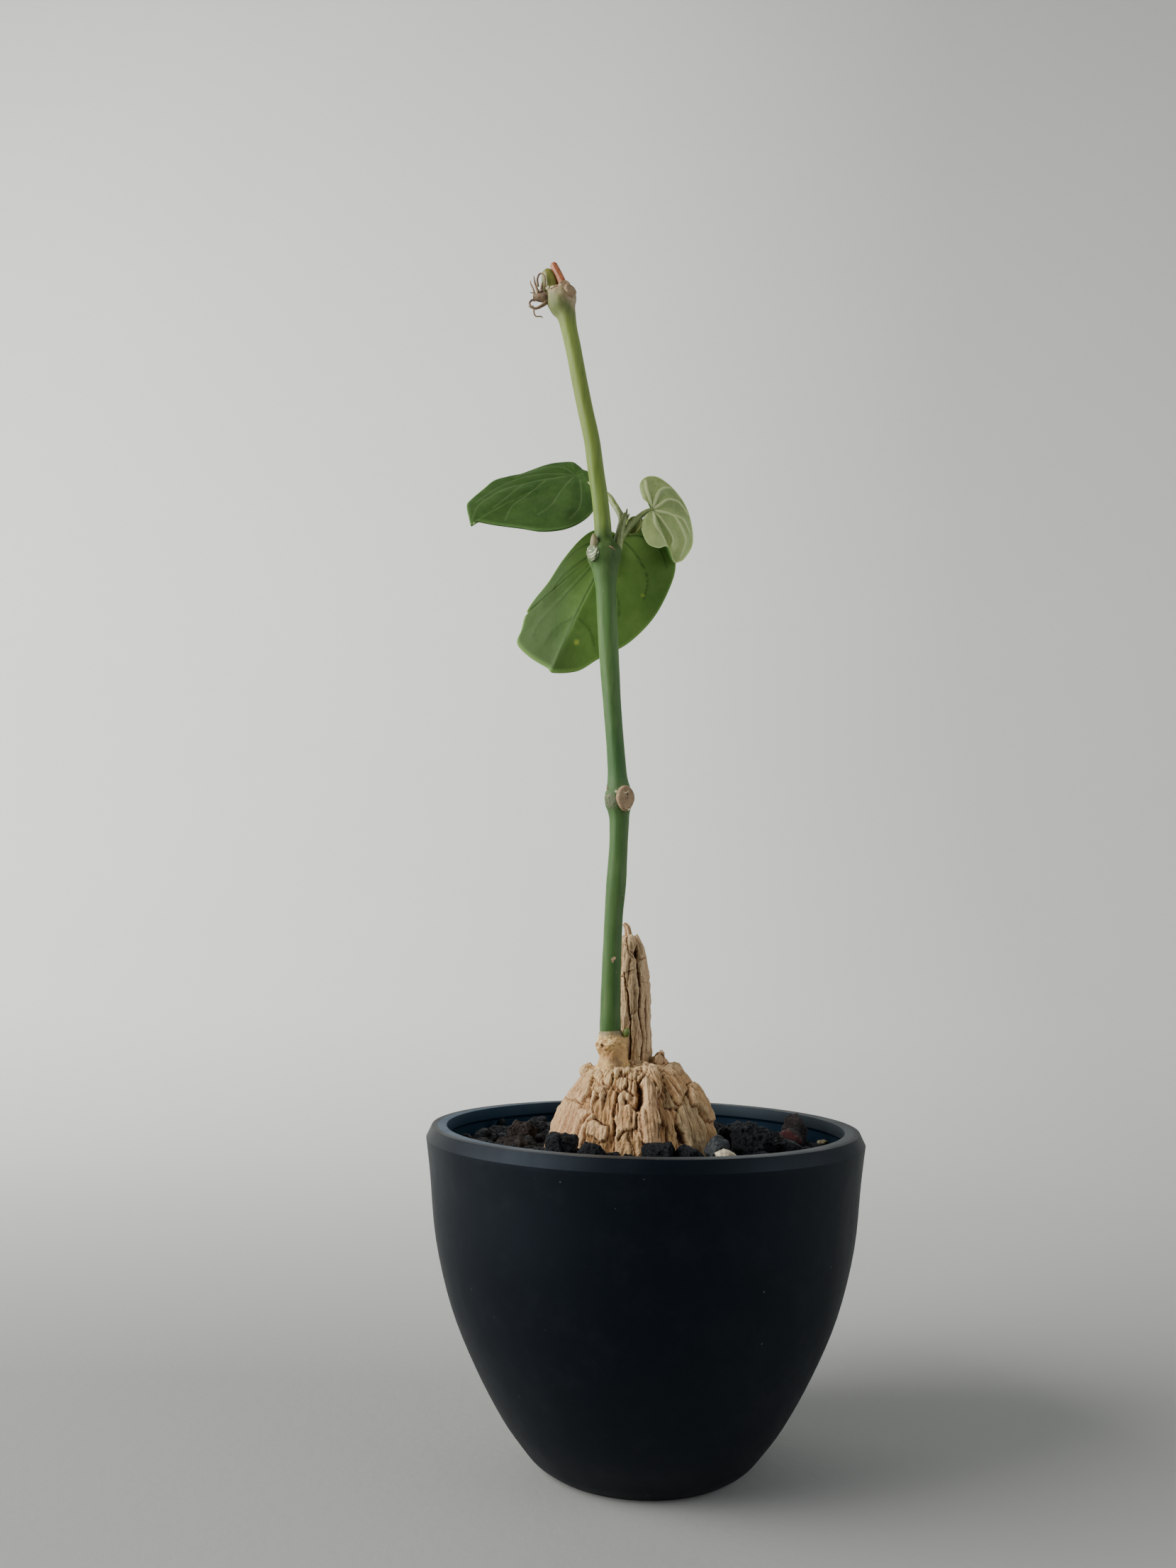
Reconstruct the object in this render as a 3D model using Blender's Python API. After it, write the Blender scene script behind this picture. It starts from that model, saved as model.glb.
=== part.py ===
"""A potted matelea: a corky tuber with one long bare stem, three leaves and lava gravel.

Metres, +Z up, the origin at the middle of the pot's foot, the front of the plant towards -Y.
"""

import math
import random

import bmesh
import bpy
from mathutils import Vector, noise

# Driving dimensions of the pot
RIM_RADIUS = 0.0575
RIM_HEIGHT = 0.0820
RIM_CHAMFER_TOP = 0.05614
LIP_INNER_RADIUS = 0.0523
LIP_DEPTH = 0.0030
WALL = 0.0020
FOOT_RADIUS = 0.0259
FOOT_RING_WIDTH = 0.0028
FOOT_RECESS = 0.0015
FLOOR_THICKNESS = 0.0022
DRAIN_RADIUS = 0.0030
DRAIN_RING_RADIUS = 0.0145
DRAIN_COUNT = 6
POT_SIDES = 56
POT_OUTSIDE = [
    (0.0262, 0.0000), (0.0291, 0.0020), (0.0317, 0.0050), (0.0369, 0.0120), (0.0437, 0.0240),
    (0.0499, 0.0380), (0.0542, 0.0540), (0.0562, 0.0700), (RIM_RADIUS, 0.0791),
    (RIM_CHAMFER_TOP, RIM_HEIGHT),
]

# Levels of the filling
MIX_TOP = 0.0697
BED_BOTTOM = 0.0700
BED_TOP = 0.0752
GAP = 0.0003
FILL_SIDES = 36

# Tuber and bark: radius and height down the envelope, from the top to the buried tip
CAUDEX_AXIS = (-0.0028, 0.0)
SOIL_LEVEL = 0.0760
CAUDEX_OUTSIDE = [
    (0.0000, 0.0990), (0.0060, 0.0987), (0.0112, 0.0974), (0.0146, 0.0945), (0.0174, 0.0910),
    (0.0198, 0.0860), (0.0216, 0.0810), (0.0230, 0.0760), (0.0238, 0.0700), (0.0218, 0.0620),
    (0.0165, 0.0530), (0.0105, 0.0420), (0.0056, 0.0320), (0.0024, 0.0250), (0.0000, 0.0235),
]
BARK_COLUMNS = 132
BARK_STEP = 0.0011
BARK_TRIANGLES = 3800
CRACK_DEPTH = 0.0038
CRACK_WIDTH = 0.0019
BLOCK_CROWN = 0.0006
CAUDEX_SEED = 11

# Bark blocks that face the front: angle from the front in degrees, distance up the slope
# from the soil, how far the block stands out, and how long it is for its width
FRONT_BLOCKS = [
    (-74, 0.0080, -0.0004, 3.4), (-60, 0.0120, 0.0000, 3.8), (-45, 0.0050, -0.0013, 3.0),
    (-31, 0.0015, 0.0000, 1.9), (-34, 0.0130, -0.0003, 2.8), (-10, 0.0010, 0.0003, 1.7),
    (-13, 0.0120, -0.0010, 3.0), (7, 0.0090, 0.0008, 4.2), (24, 0.0070, -0.0010, 4.0),
    (41, 0.0100, -0.0001, 4.2), (57, 0.0050, -0.0013, 3.0), (71, 0.0080, 0.0002, 3.6),
    (-24, 0.0225, -0.0005, 1.0), (6, 0.0220, 0.0003, 1.1), (30, 0.0225, 0.0005, 1.2),
    (54, 0.0215, 0.0006, 1.3), (-52, 0.0255, 0.0003, 1.1), (76, 0.0225, 0.0003, 1.2),
]
BACK_FIRST = 92
BACK_LAST = 270
BACK_COLUMNS = 9
BACK_LEVELS = (0.0050, 0.0160, 0.0235)

# Blocks that stand up on the shoulder: place, radius, top
SHOULDER_BLOCKS = [
    ((0.0036, 0.0030), 0.0036, 0.1016), ((0.0082, 0.0045), 0.0030, 0.0983),
    ((-0.0146, -0.0015), 0.0027, 0.0972), ((0.0030, -0.0055), 0.0030, 0.0985),
    ((-0.0035, 0.0110), 0.0034, 0.0995), ((-0.0100, 0.0070), 0.0030, 0.0990),
    ((0.0105, -0.0020), 0.0026, 0.0966),
]

# Old stump: centre line with radius, and the pale core that stands out of its broken top
STUMP_ROUTE = [
    (-0.0032, 0.0045, 0.0950, 0.0056), (-0.0030, 0.0045, 0.1010, 0.0049),
    (-0.0030, 0.0046, 0.1120, 0.0047), (-0.0034, 0.0047, 0.1220, 0.0044),
    (-0.0036, 0.0047, 0.1300, 0.0038), (-0.0036, 0.0047, 0.1318, 0.0022),
]
STUMP_RIDGES = 7
STUMP_GROOVE = 0.0013
CORE_ROUTE = [
    (-0.0030, 0.0047, 0.1280, 0.0017), (-0.0034, 0.0047, 0.1325, 0.0015),
    (-0.0042, 0.0047, 0.1345, 0.0012), (-0.0056, 0.0047, 0.1353, 0.0007),
]

# Corky neck that the green stem grows out of
COLLAR_ROUTE = [
    (-0.0086, -0.0036, 0.0940, 0.0062), (-0.0085, -0.0038, 0.0972, 0.0046),
    (-0.0086, -0.0040, 0.1000, 0.0037), (-0.0090, -0.0040, 0.1036, 0.0041),
    (-0.0092, -0.0040, 0.1058, 0.0035), (-0.0093, -0.0040, 0.1076, 0.0030),
]
SOCKET_RADIUS = 0.0023
SOCKET_BOTTOM = 0.1030

# Green stem: centre line with radius, from the peg in the neck to the swollen head
STEM_Y = -0.0040
PEG_RADIUS = SOCKET_RADIUS - GAP
STEM_ROUTE = [
    (-0.0094, 0.1080, 0.0028), (-0.0094, 0.1150, 0.00265), (-0.0092, 0.1260, 0.00255),
    (-0.0088, 0.1374, 0.0025), (-0.0083, 0.1451, 0.0027), (-0.0078, 0.1545, 0.00252),
    (-0.0076, 0.1620, 0.00262), (-0.0077, 0.1652, 0.0030), (-0.0078, 0.1676, 0.0038),
    (-0.0078, 0.1700, 0.0040), (-0.0080, 0.1724, 0.0032), (-0.0083, 0.1762, 0.00265),
    (-0.0089, 0.1835, 0.0025), (-0.0099, 0.1950, 0.0025), (-0.0108, 0.2070, 0.0027),
    (-0.0116, 0.2200, 0.0028), (-0.0120, 0.2280, 0.0029), (-0.0122, 0.2318, 0.0033),
    (-0.0123, 0.2346, 0.0038), (-0.0125, 0.2372, 0.0047), (-0.0126, 0.2392, 0.0048),
    (-0.0128, 0.2414, 0.0038), (-0.0130, 0.2436, 0.0026), (-0.0133, 0.2480, 0.0024),
    (-0.0142, 0.2560, 0.0023), (-0.0155, 0.2645, 0.0023), (-0.0167, 0.2730, 0.0023),
    (-0.0186, 0.2816, 0.0023), (-0.0204, 0.2903, 0.0023), (-0.0221, 0.2991, 0.0023),
    (-0.0238, 0.3070, 0.0024), (-0.0247, 0.3112, 0.0028), (-0.0258, 0.3144, 0.0040),
    (-0.0262, 0.3166, 0.0044), (-0.0262, 0.3186, 0.0040), (-0.0262, 0.3200, 0.0026),
]
STEM_SIDES = 10

# Scars and stubs on the stem: centre, half sizes, turn about Z in degrees
STEM_BLOBS = [
    ((-0.0058, -0.0064, 0.1699), (0.0021, 0.0015, 0.0029), 35),
    ((-0.0103, -0.0060, 0.1690), (0.0016, 0.0014, 0.0020), -50),
    ((-0.0157, -0.0066, 0.2384), (0.0022, 0.0015, 0.0026), -40),
    ((-0.0094, -0.0060, 0.2386), (0.0020, 0.0020, 0.0026), 40),
    ((-0.0232, -0.0050, 0.3180), (0.0021, 0.0024, 0.0016), 30),
    ((-0.0258, -0.0050, 0.3206), (0.0016, 0.0016, 0.0013), 0),
]
GREEN_STUB_ROUTE = [
    (-0.0288, -0.0036, 0.3170, 0.0022), (-0.0297, -0.0036, 0.3205, 0.0021),
    (-0.0302, -0.0036, 0.3235, 0.0019), (-0.0305, -0.0036, 0.3252, 0.0015),
    (-0.0306, -0.0036, 0.3260, 0.0007),
]
ORANGE_STUB_ROUTE = [
    (-0.0262, -0.0048, 0.3223, 0.0010), (-0.0270, -0.0047, 0.3238, 0.00095),
    (-0.0281, -0.0046, 0.3258, 0.00095), (-0.0289, -0.0046, 0.3272, 0.0009),
]
AXILLARY_BUD_ROUTE = [
    (-0.0154, -0.0070, 0.2416, 0.0007), (-0.0155, -0.0071, 0.2426, 0.0011),
    (-0.0155, -0.0070, 0.2438, 0.0010), (-0.0153, -0.0068, 0.2450, 0.0005),
]
BASAL_BUD_ROUTE = [
    (-0.00455, -0.0052, 0.1050, 0.0006), (-0.0043, -0.0053, 0.1058, 0.0010),
    (-0.0043, -0.0053, 0.1066, 0.0010), (-0.0045, -0.0053, 0.1073, 0.0005),
]

# Dried flower beside the head: a small cup and the curled threads that stand out of it
FLOWER_CUP_ROUTE = [
    (-0.03140, -0.0046, 0.3168, 0.0006), (-0.0322, -0.0046, 0.3170, 0.0012),
    (-0.0332, -0.0047, 0.3172, 0.0016), (-0.0344, -0.0047, 0.3174, 0.0012),
]
FLOWER_THREADS = [
    [(-0.0336, -0.0049, 0.3174), (-0.0346, -0.0052, 0.3198), (-0.0354, -0.0052, 0.3220)],
    [(-0.0332, -0.0043, 0.3178), (-0.0341, -0.0040, 0.3210), (-0.0345, -0.0038, 0.3234)],
    [(-0.0330, -0.0050, 0.3176), (-0.0334, -0.0056, 0.3222), (-0.0325, -0.0062, 0.3242),
     (-0.0312, -0.0064, 0.3236)],
    [(-0.0334, -0.0047, 0.3173), (-0.0354, -0.0049, 0.3184)],
    [(-0.0328, -0.0047, 0.3166), (-0.0332, -0.0050, 0.3136), (-0.0354, -0.0052, 0.3138)],
    [(-0.0336, -0.0046, 0.3168), (-0.0342, -0.0046, 0.3128), (-0.0334, -0.0047, 0.3106),
     (-0.0317, -0.0048, 0.3100)],
]
THREAD_RADIUS = 0.00034

# Side shoot from the upper node, with the knob that carries the petioles
SHOOT_ROUTE = [
    (-0.0089, -0.0012, 0.2423, 0.00115), (-0.0083, -0.0008, 0.2448, 0.0013),
    (-0.0076, -0.0002, 0.2472, 0.0014), (-0.0073, 0.0000, 0.2488, 0.0016),
    (-0.0068, 0.0001, 0.2503, 0.0011), (-0.0066, 0.0001, 0.2514, 0.0007),
]
SHOOT_SCALES = [
    [(-0.0067, 0.0000, 0.2505), (-0.0072, -0.0002, 0.2524), (-0.0072, -0.0003, 0.2537)],
    [(-0.0065, 0.0002, 0.2505), (-0.0062, 0.0002, 0.2526), (-0.0060, 0.0002, 0.2544)],
    [(-0.0067, 0.0001, 0.2500), (-0.0060, -0.0006, 0.2514), (-0.0056, -0.0007, 0.2526)],
]
SCALE_RADIUS = 0.0006

# Leaves: each has a junction where its veins meet and an edge that runs round from it
BLADE_THICKNESS = 0.0008
BLADE_RINGS = 4
VEIN_RELIEF = 0.00035
LEAF_LEFT = {
    "junction": (-0.0216, 0.0179, 0.2714),
    "edge": [
        (-0.0186, 0.0176, 0.2711), (-0.0175, 0.0194, 0.2732), (-0.0208, 0.0215, 0.2757),
        (-0.0250, 0.0233, 0.2778), (-0.0309, 0.0219, 0.2762), (-0.0389, 0.0176, 0.2711),
        (-0.0455, 0.0153, 0.2684), (-0.0489, 0.0112, 0.2636), (-0.0521, 0.0068, 0.2584),
        (-0.0529, 0.0041, 0.2553), (-0.0513, -0.0008, 0.2495), (-0.0507, -0.0026, 0.2474),
        (-0.0481, -0.0020, 0.2481), (-0.0431, -0.0026, 0.2474), (-0.0361, -0.0036, 0.2462),
        (-0.0303, -0.0045, 0.2451), (-0.0237, -0.0034, 0.2464), (-0.0186, 0.0012, 0.2508),
        (-0.0156, 0.0060, 0.2563), (-0.0150, 0.0110, 0.2632), (-0.0172, 0.0157, 0.2688),
    ],
    "belly": (0.0, 0.0009, 0.0016),
    "ribs": (4, 6, 11, 15, 17),
    "petiole": [
        (-0.0087, 0.0006, 0.2501, 0.0008), (-0.0094, 0.0013, 0.2524, 0.0009),
        (-0.0103, 0.0027, 0.2550, 0.0010), (-0.0116, 0.0054, 0.2580, 0.0010),
        (-0.0157, 0.0124, 0.2646, 0.0010), (-0.0198, 0.0174, 0.2694, 0.0010),
        (-0.0224, 0.0190, 0.2713, 0.0008),
    ],
}
LEAF_LARGE = {
    "junction": (-0.0085, 0.0080, 0.2483),
    "edge": [
        (-0.0105, 0.0083, 0.2496), (-0.0154, 0.0101, 0.2509), (-0.0198, 0.0112, 0.2482),
        (-0.0249, 0.0121, 0.2420), (-0.0290, 0.0126, 0.2354), (-0.0347, 0.0133, 0.2263),
        (-0.0360, 0.0131, 0.2213), (-0.0377, 0.0132, 0.2169), (-0.0339, 0.0113, 0.2124),
        (-0.0286, 0.0091, 0.2087), (-0.0268, 0.0083, 0.2071), (-0.0198, 0.0085, 0.2078),
        (-0.0136, 0.0085, 0.2116), (-0.0051, 0.0086, 0.2164), (0.0024, 0.0086, 0.2245),
        (0.0074, 0.0084, 0.2349), (0.0083, 0.0082, 0.2416), (0.0060, 0.0079, 0.2475),
        (0.0005, 0.0077, 0.2504), (-0.0055, 0.0077, 0.2496),
    ],
    "belly": (0.0, -0.0014, 0.0),
    "ribs": (3, 5, 7, 10, 13, 15),
    "petiole": [
        (-0.0124, 0.0012, 0.2394, 0.0009), (-0.0120, 0.0036, 0.2402, 0.0010),
        (-0.0110, 0.0066, 0.2432, 0.0010), (-0.0098, 0.0080, 0.2464, 0.0010),
        (-0.0084, 0.0083, 0.2480, 0.0008),
    ],
}
LEAF_RIGHT = {
    "junction": (0.0010, 0.0020, 0.2544),
    "edge": [
        (-0.0014, 0.0026, 0.2582), (-0.0024, 0.0026, 0.2623), (-0.0007, 0.0028, 0.2647),
        (0.0025, 0.0032, 0.2650), (0.0059, 0.0038, 0.2630), (0.0093, 0.0045, 0.2595),
        (0.0116, 0.0052, 0.2556), (0.0130, 0.0058, 0.2504), (0.0131, 0.0062, 0.2455),
        (0.0109, 0.0062, 0.2415), (0.0093, 0.0060, 0.2403), (0.0074, 0.0054, 0.2401),
        (0.0053, 0.0012, 0.2430), (0.0027, -0.0008, 0.2419), (-0.0002, -0.0014, 0.2429),
        (-0.0018, -0.0008, 0.2469), (-0.0014, 0.0006, 0.2510),
    ],
    "belly": (0.0, -0.0012, 0.0),
    "ribs": (2, 4, 6, 8, 11, 14),
    "petiole": [
        (-0.0052, 0.0003, 0.2484, 0.0008), (-0.0038, 0.0006, 0.2502, 0.0009),
        (-0.0013, 0.0012, 0.2528, 0.0009), (0.0012, 0.0018, 0.2544, 0.0008),
    ],
}
YOUNG_LEAF = {
    "junction": (-0.0052, 0.0032, 0.2476),
    "edge": [
        (-0.0056, 0.0030, 0.2482), (-0.0060, 0.0032, 0.2500), (-0.0052, 0.0036, 0.2522),
        (-0.0044, 0.0038, 0.2534), (-0.0032, 0.0036, 0.2518), (-0.0030, 0.0034, 0.2500),
        (-0.0042, 0.0032, 0.2480),
    ],
    "belly": (0.0, 0.0006, 0.0),
    "ribs": (3,),
    "petiole": [
        (-0.0065, 0.0014, 0.2468, 0.0006), (-0.0058, 0.0026, 0.2470, 0.0006),
        (-0.0052, 0.0032, 0.2478, 0.0006),
    ],
}

# Stones that the front view shows in the black bed: x, y, width, top
BLACK_STONES = [
    (-0.0419, 0.0060, 0.0080, 0.0800), (-0.0300, 0.0215, 0.0090, 0.0804),
    (-0.0214, -0.0240, 0.0092, 0.0829), (-0.0142, -0.0290, 0.0084, 0.0822),
    (-0.0051, -0.0290, 0.0044, 0.0797), (0.0022, -0.0290, 0.0084, 0.0818),
    (0.0092, -0.0280, 0.0080, 0.0814), (0.0270, -0.0120, 0.0135, 0.0852),
    (0.0245, 0.0120, 0.0080, 0.0808), (0.0367, -0.0110, 0.0084, 0.0808),
    (0.0455, 0.0020, 0.0070, 0.0779),
]
# The other stones: x, y, width, top, how tall for its width
COLOURED_STONES = {
    "lava_stone_brown_back": (-0.0330, 0.0125, 0.0100, 0.0814, 0.9),
    "lava_stone_brown_front": (-0.0345, -0.0085, 0.0108, 0.0804, 0.8),
    "lava_stone_tall": (0.0412, 0.0080, 0.0080, 0.0851, 1.5),
    "lava_stone_red": (0.0390, -0.0020, 0.0068, 0.0824, 1.1),
    "pebble_grey": (0.0178, -0.0195, 0.0068, 0.0828, 1.2),
    "chip_pale_front": (0.0178, -0.0300, 0.0052, 0.0802, 0.9),
    "chip_pale_right": (0.0478, 0.0150, 0.0042, 0.0790, 0.9),
}
STONE_SEED = 5
STONE_TRIES = 2600
STONE_SMALLEST = 0.0074
STONE_LARGEST = 0.0112
STONE_POINTS = 13
STONE_FLATNESS = 0.85
STONE_SUNK = 0.0022

COLOURS = {
    "pot": (0.012, 0.016, 0.024, 1.0),
    "mix": (0.030, 0.020, 0.013, 1.0),
    "lava": (0.018, 0.019, 0.021, 1.0),
    "lava_brown": (0.075, 0.045, 0.034, 1.0),
    "lava_grey": (0.060, 0.050, 0.047, 1.0),
    "lava_red": (0.120, 0.028, 0.022, 1.0),
    "pebble": (0.060, 0.065, 0.070, 1.0),
    "chip": (0.480, 0.420, 0.320, 1.0),
    "bark": (0.480, 0.300, 0.170, 1.0),
    "stem": (0.060, 0.170, 0.030, 1.0),
    "stub": (0.560, 0.160, 0.050, 1.0),
    "dried": (0.120, 0.070, 0.055, 1.0),
    "bud": (0.300, 0.200, 0.110, 1.0),
    "bud_green": (0.160, 0.200, 0.030, 1.0),
    "leaf": (0.040, 0.120, 0.020, 1.0),
    "leaf_pale": (0.180, 0.300, 0.090, 1.0),
}


def clear_scene():
    for item in list(bpy.data.objects):
        bpy.data.objects.remove(item)


def material(name, roughness):
    """Returns the named finish, made once."""
    finish = bpy.data.materials.get(name)
    if finish is None:
        finish = bpy.data.materials.new(name)
        finish.use_nodes = True
        shader = finish.node_tree.nodes["Principled BSDF"]
        shader.inputs["Base Color"].default_value = COLOURS[name]
        shader.inputs["Roughness"].default_value = roughness
        finish.diffuse_color = COLOURS[name]
    return finish


def add_object(name, shape, finish, smooth_angle=math.radians(40)):
    """Turns a bmesh into a named object with its finish."""
    bmesh.ops.recalc_face_normals(shape, faces=shape.faces)
    mesh = bpy.data.meshes.new(name)
    shape.to_mesh(mesh)
    shape.free()
    mesh.shade_smooth()
    mesh.set_sharp_from_angle(angle=smooth_angle)
    item = bpy.data.objects.new(name, mesh)
    item.data.materials.append(finish)
    bpy.context.scene.collection.objects.link(item)
    return item


def apply_modifiers(item):
    """Replaces the object's mesh by what its modifiers make of it."""
    graph = bpy.context.evaluated_depsgraph_get()
    mesh = bpy.data.meshes.new_from_object(item.evaluated_get(graph))
    item.modifiers.clear()
    item.data = mesh


def boolean(item, others, operation):
    """Joins the others to the item, or cuts them from it, and removes them."""
    group = bpy.data.collections.new(item.name + "_" + operation.lower())
    bpy.context.scene.collection.children.link(group)
    for other in others:
        bpy.context.scene.collection.objects.unlink(other)
        group.objects.link(other)
    step = item.modifiers.new(operation.lower(), "BOOLEAN")
    step.operation = operation
    step.operand_type = "COLLECTION"
    step.collection = group
    step.solver = "EXACT"
    apply_modifiers(item)
    for other in others:
        bpy.data.objects.remove(other)
    bpy.data.collections.remove(group)


def clean(item, distance=0.000004):
    """Welds stray points, drops loose scraps and keeps the largest body."""
    shape = bmesh.new()
    shape.from_mesh(item.data)
    bmesh.ops.remove_doubles(shape, verts=shape.verts, dist=distance)
    bmesh.ops.dissolve_degenerate(shape, edges=shape.edges, dist=distance)
    bmesh.ops.triangulate(shape, faces=shape.faces)
    shape.verts.ensure_lookup_table()
    bodies = []
    seen = set()
    for start in shape.verts:
        if start.index in seen:
            continue
        seen.add(start.index)
        body = [start]
        for vertex in body:
            for edge in vertex.link_edges:
                other = edge.other_vert(vertex)
                if other.index not in seen:
                    seen.add(other.index)
                    body.append(other)
        bodies.append(body)
    bodies.sort(key=len)
    for body in bodies[:-1]:
        bmesh.ops.delete(shape, geom=body, context="VERTS")
    bmesh.ops.recalc_face_normals(shape, faces=shape.faces)
    shape.to_mesh(item.data)
    shape.free()
    item.data.shade_smooth()
    item.data.set_sharp_from_angle(angle=math.radians(40))


def smooth_through(points, per_span):
    """Points of a smooth curve through the given ones, of any number of values each."""
    result = []
    last = len(points) - 1
    for index in range(last):
        before = points[max(index - 1, 0)]
        start = points[index]
        end = points[index + 1]
        after = points[min(index + 2, last)]
        for step in range(per_span):
            t = step / per_span
            result.append(tuple(
                0.5 * (2 * b + (c - a) * t + (2 * a - 5 * b + 4 * c - d) * t * t
                       + (3 * b - a - 3 * c + d) * t * t * t)
                for a, b, c, d in zip(before, start, end, after)
            ))
    result.append(tuple(points[last]))
    return result


def turned(name, profile, sides, finish):
    """A closed turned body: the profile is a closed loop clear of the axis, or ends on it."""
    shape = bmesh.new()
    on_axis = profile[0][0] < 1e-9
    rings = []
    for radius, height in profile:
        if radius < 1e-9:
            rings.append([shape.verts.new((0.0, 0.0, height))])
            continue
        rings.append([
            shape.verts.new((
                radius * math.cos(2 * math.pi * side / sides),
                radius * math.sin(2 * math.pi * side / sides),
                height,
            ))
            for side in range(sides)
        ])
    pairs = list(zip(rings, rings[1:]))
    if not on_axis:
        pairs.append((rings[-1], rings[0]))
    for first, second in pairs:
        for side in range(sides):
            after = (side + 1) % sides
            if len(first) == 1:
                shape.faces.new((first[0], second[side], second[after]))
            elif len(second) == 1:
                shape.faces.new((first[side], second[0], first[after]))
            else:
                shape.faces.new((first[side], second[side], second[after], first[after]))
    return add_object(name, shape, finish)


def tube(name, route, sides, finish, ripple=None, per_span=1):
    """A closed tube along a route of x, y, z, radius, with a ripple over its surface."""
    stations = smooth_through(route, per_span) if per_span > 1 else route
    shape = bmesh.new()
    centres = [Vector(station[:3]) for station in stations]
    side_axis = None
    rings = []
    for index, station in enumerate(stations):
        before = centres[max(index - 1, 0)]
        after = centres[min(index + 1, len(centres) - 1)]
        along = (after - before).normalized()
        if side_axis is None:
            guide = Vector((0.0, 1.0, 0.0)) if abs(along.y) < 0.9 else Vector((1.0, 0.0, 0.0))
            side_axis = guide.cross(along).normalized()
        else:
            side_axis = (side_axis - along * side_axis.dot(along)).normalized()
        other_axis = along.cross(side_axis)
        ring = []
        for side in range(sides):
            angle = 2 * math.pi * side / sides
            radius = station[3]
            if ripple is not None:
                radius *= ripple(angle, index / (len(stations) - 1))
            offset = side_axis * math.cos(angle) + other_axis * math.sin(angle)
            ring.append(shape.verts.new(centres[index] + offset * radius))
        rings.append(ring)
    for first, second in zip(rings, rings[1:]):
        for side in range(sides):
            after = (side + 1) % sides
            shape.faces.new((first[side], first[after], second[after], second[side]))
    for ring, centre in ((rings[0], centres[0]), (rings[-1], centres[-1])):
        middle = shape.verts.new(centre)
        for side in range(sides):
            shape.faces.new((ring[side], ring[(side + 1) % sides], middle))
    return add_object(name, shape, finish)


def blob(name, centre, half_sizes, turn, finish):
    """A small egg-shaped body of few faces."""
    shape = bmesh.new()
    bmesh.ops.create_uvsphere(shape, u_segments=8, v_segments=6, radius=1.0)
    angle = math.radians(turn)
    for vertex in shape.verts:
        x = vertex.co.x * half_sizes[0]
        y = vertex.co.y * half_sizes[1]
        z = vertex.co.z * half_sizes[2]
        vertex.co = Vector((
            centre[0] + x * math.cos(angle) - y * math.sin(angle),
            centre[1] + x * math.sin(angle) + y * math.cos(angle),
            centre[2] + z,
        ))
    return add_object(name, shape, finish)


def outer_radius(height):
    """The pot's outer radius at a height below the rim."""
    for (low_radius, low), (high_radius, high) in zip(POT_OUTSIDE, POT_OUTSIDE[1:]):
        if low <= height <= high:
            return low_radius + (high_radius - low_radius) * (height - low) / (high - low)
    return POT_OUTSIDE[0][0]


def cavity_profile():
    """The pot's inside, from the rim down to its floor."""
    lip_bottom = RIM_HEIGHT - LIP_DEPTH
    profile = [
        (LIP_INNER_RADIUS, RIM_HEIGHT), (LIP_INNER_RADIUS, lip_bottom),
        (LIP_INNER_RADIUS + 0.0012, lip_bottom - 0.0008),
    ]
    for height in (0.0700, 0.0540, 0.0380, 0.0240, 0.0120):
        profile.append((outer_radius(height) - WALL, height))
    floor = FOOT_RECESS + FLOOR_THICKNESS
    profile.append((outer_radius(0.0050) - WALL - 0.0022, floor))
    return profile


def cavity_radius(height):
    """The pot's inner radius at a height."""
    profile = cavity_profile()
    for (high_radius, high), (low_radius, low) in zip(profile, profile[1:]):
        if low <= height <= high and high > low:
            return low_radius + (high_radius - low_radius) * (height - low) / (high - low)
    return profile[-1][0]


def make_pot():
    """Pot with a chamfered rim, an inner lip, a foot ring and drain holes."""
    profile = list(POT_OUTSIDE)
    profile += cavity_profile()
    profile.append((DRAIN_RADIUS, FOOT_RECESS + FLOOR_THICKNESS))
    profile.append((DRAIN_RADIUS, FOOT_RECESS))
    profile.append((FOOT_RADIUS - FOOT_RING_WIDTH - 0.0010, FOOT_RECESS))
    profile.append((FOOT_RADIUS - FOOT_RING_WIDTH, 0.0))
    pot = turned("pot", profile, POT_SIDES, material("pot", 0.42))
    drills = []
    for index in range(DRAIN_COUNT):
        angle = 2 * math.pi * index / DRAIN_COUNT
        shape = bmesh.new()
        bmesh.ops.create_cone(
            shape, cap_ends=True, segments=12, radius1=DRAIN_RADIUS, radius2=DRAIN_RADIUS,
            depth=3 * FLOOR_THICKNESS,
        )
        place = Vector((
            DRAIN_RING_RADIUS * math.cos(angle), DRAIN_RING_RADIUS * math.sin(angle),
            FOOT_RECESS + FLOOR_THICKNESS / 2,
        ))
        bmesh.ops.translate(shape, vec=place, verts=shape.verts)
        drills.append(add_object("drill_%d" % index, shape, material("pot", 0.42)))
    boolean(pot, drills, "DIFFERENCE")
    clean(pot)


def caudex_profile():
    """The tuber's envelope as a smooth profile, with its length up from the soil line."""
    curve = smooth_through(CAUDEX_OUTSIDE, 12)
    lengths = [0.0]
    for (r0, z0), (r1, z1) in zip(curve, curve[1:]):
        lengths.append(lengths[-1] + math.hypot(r1 - r0, z1 - z0))
    soil = next(
        length for (_, height), length in zip(curve, lengths) if height <= SOIL_LEVEL
    )
    return [(r, z, soil - length) for (r, z), length in zip(curve, lengths)]


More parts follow.
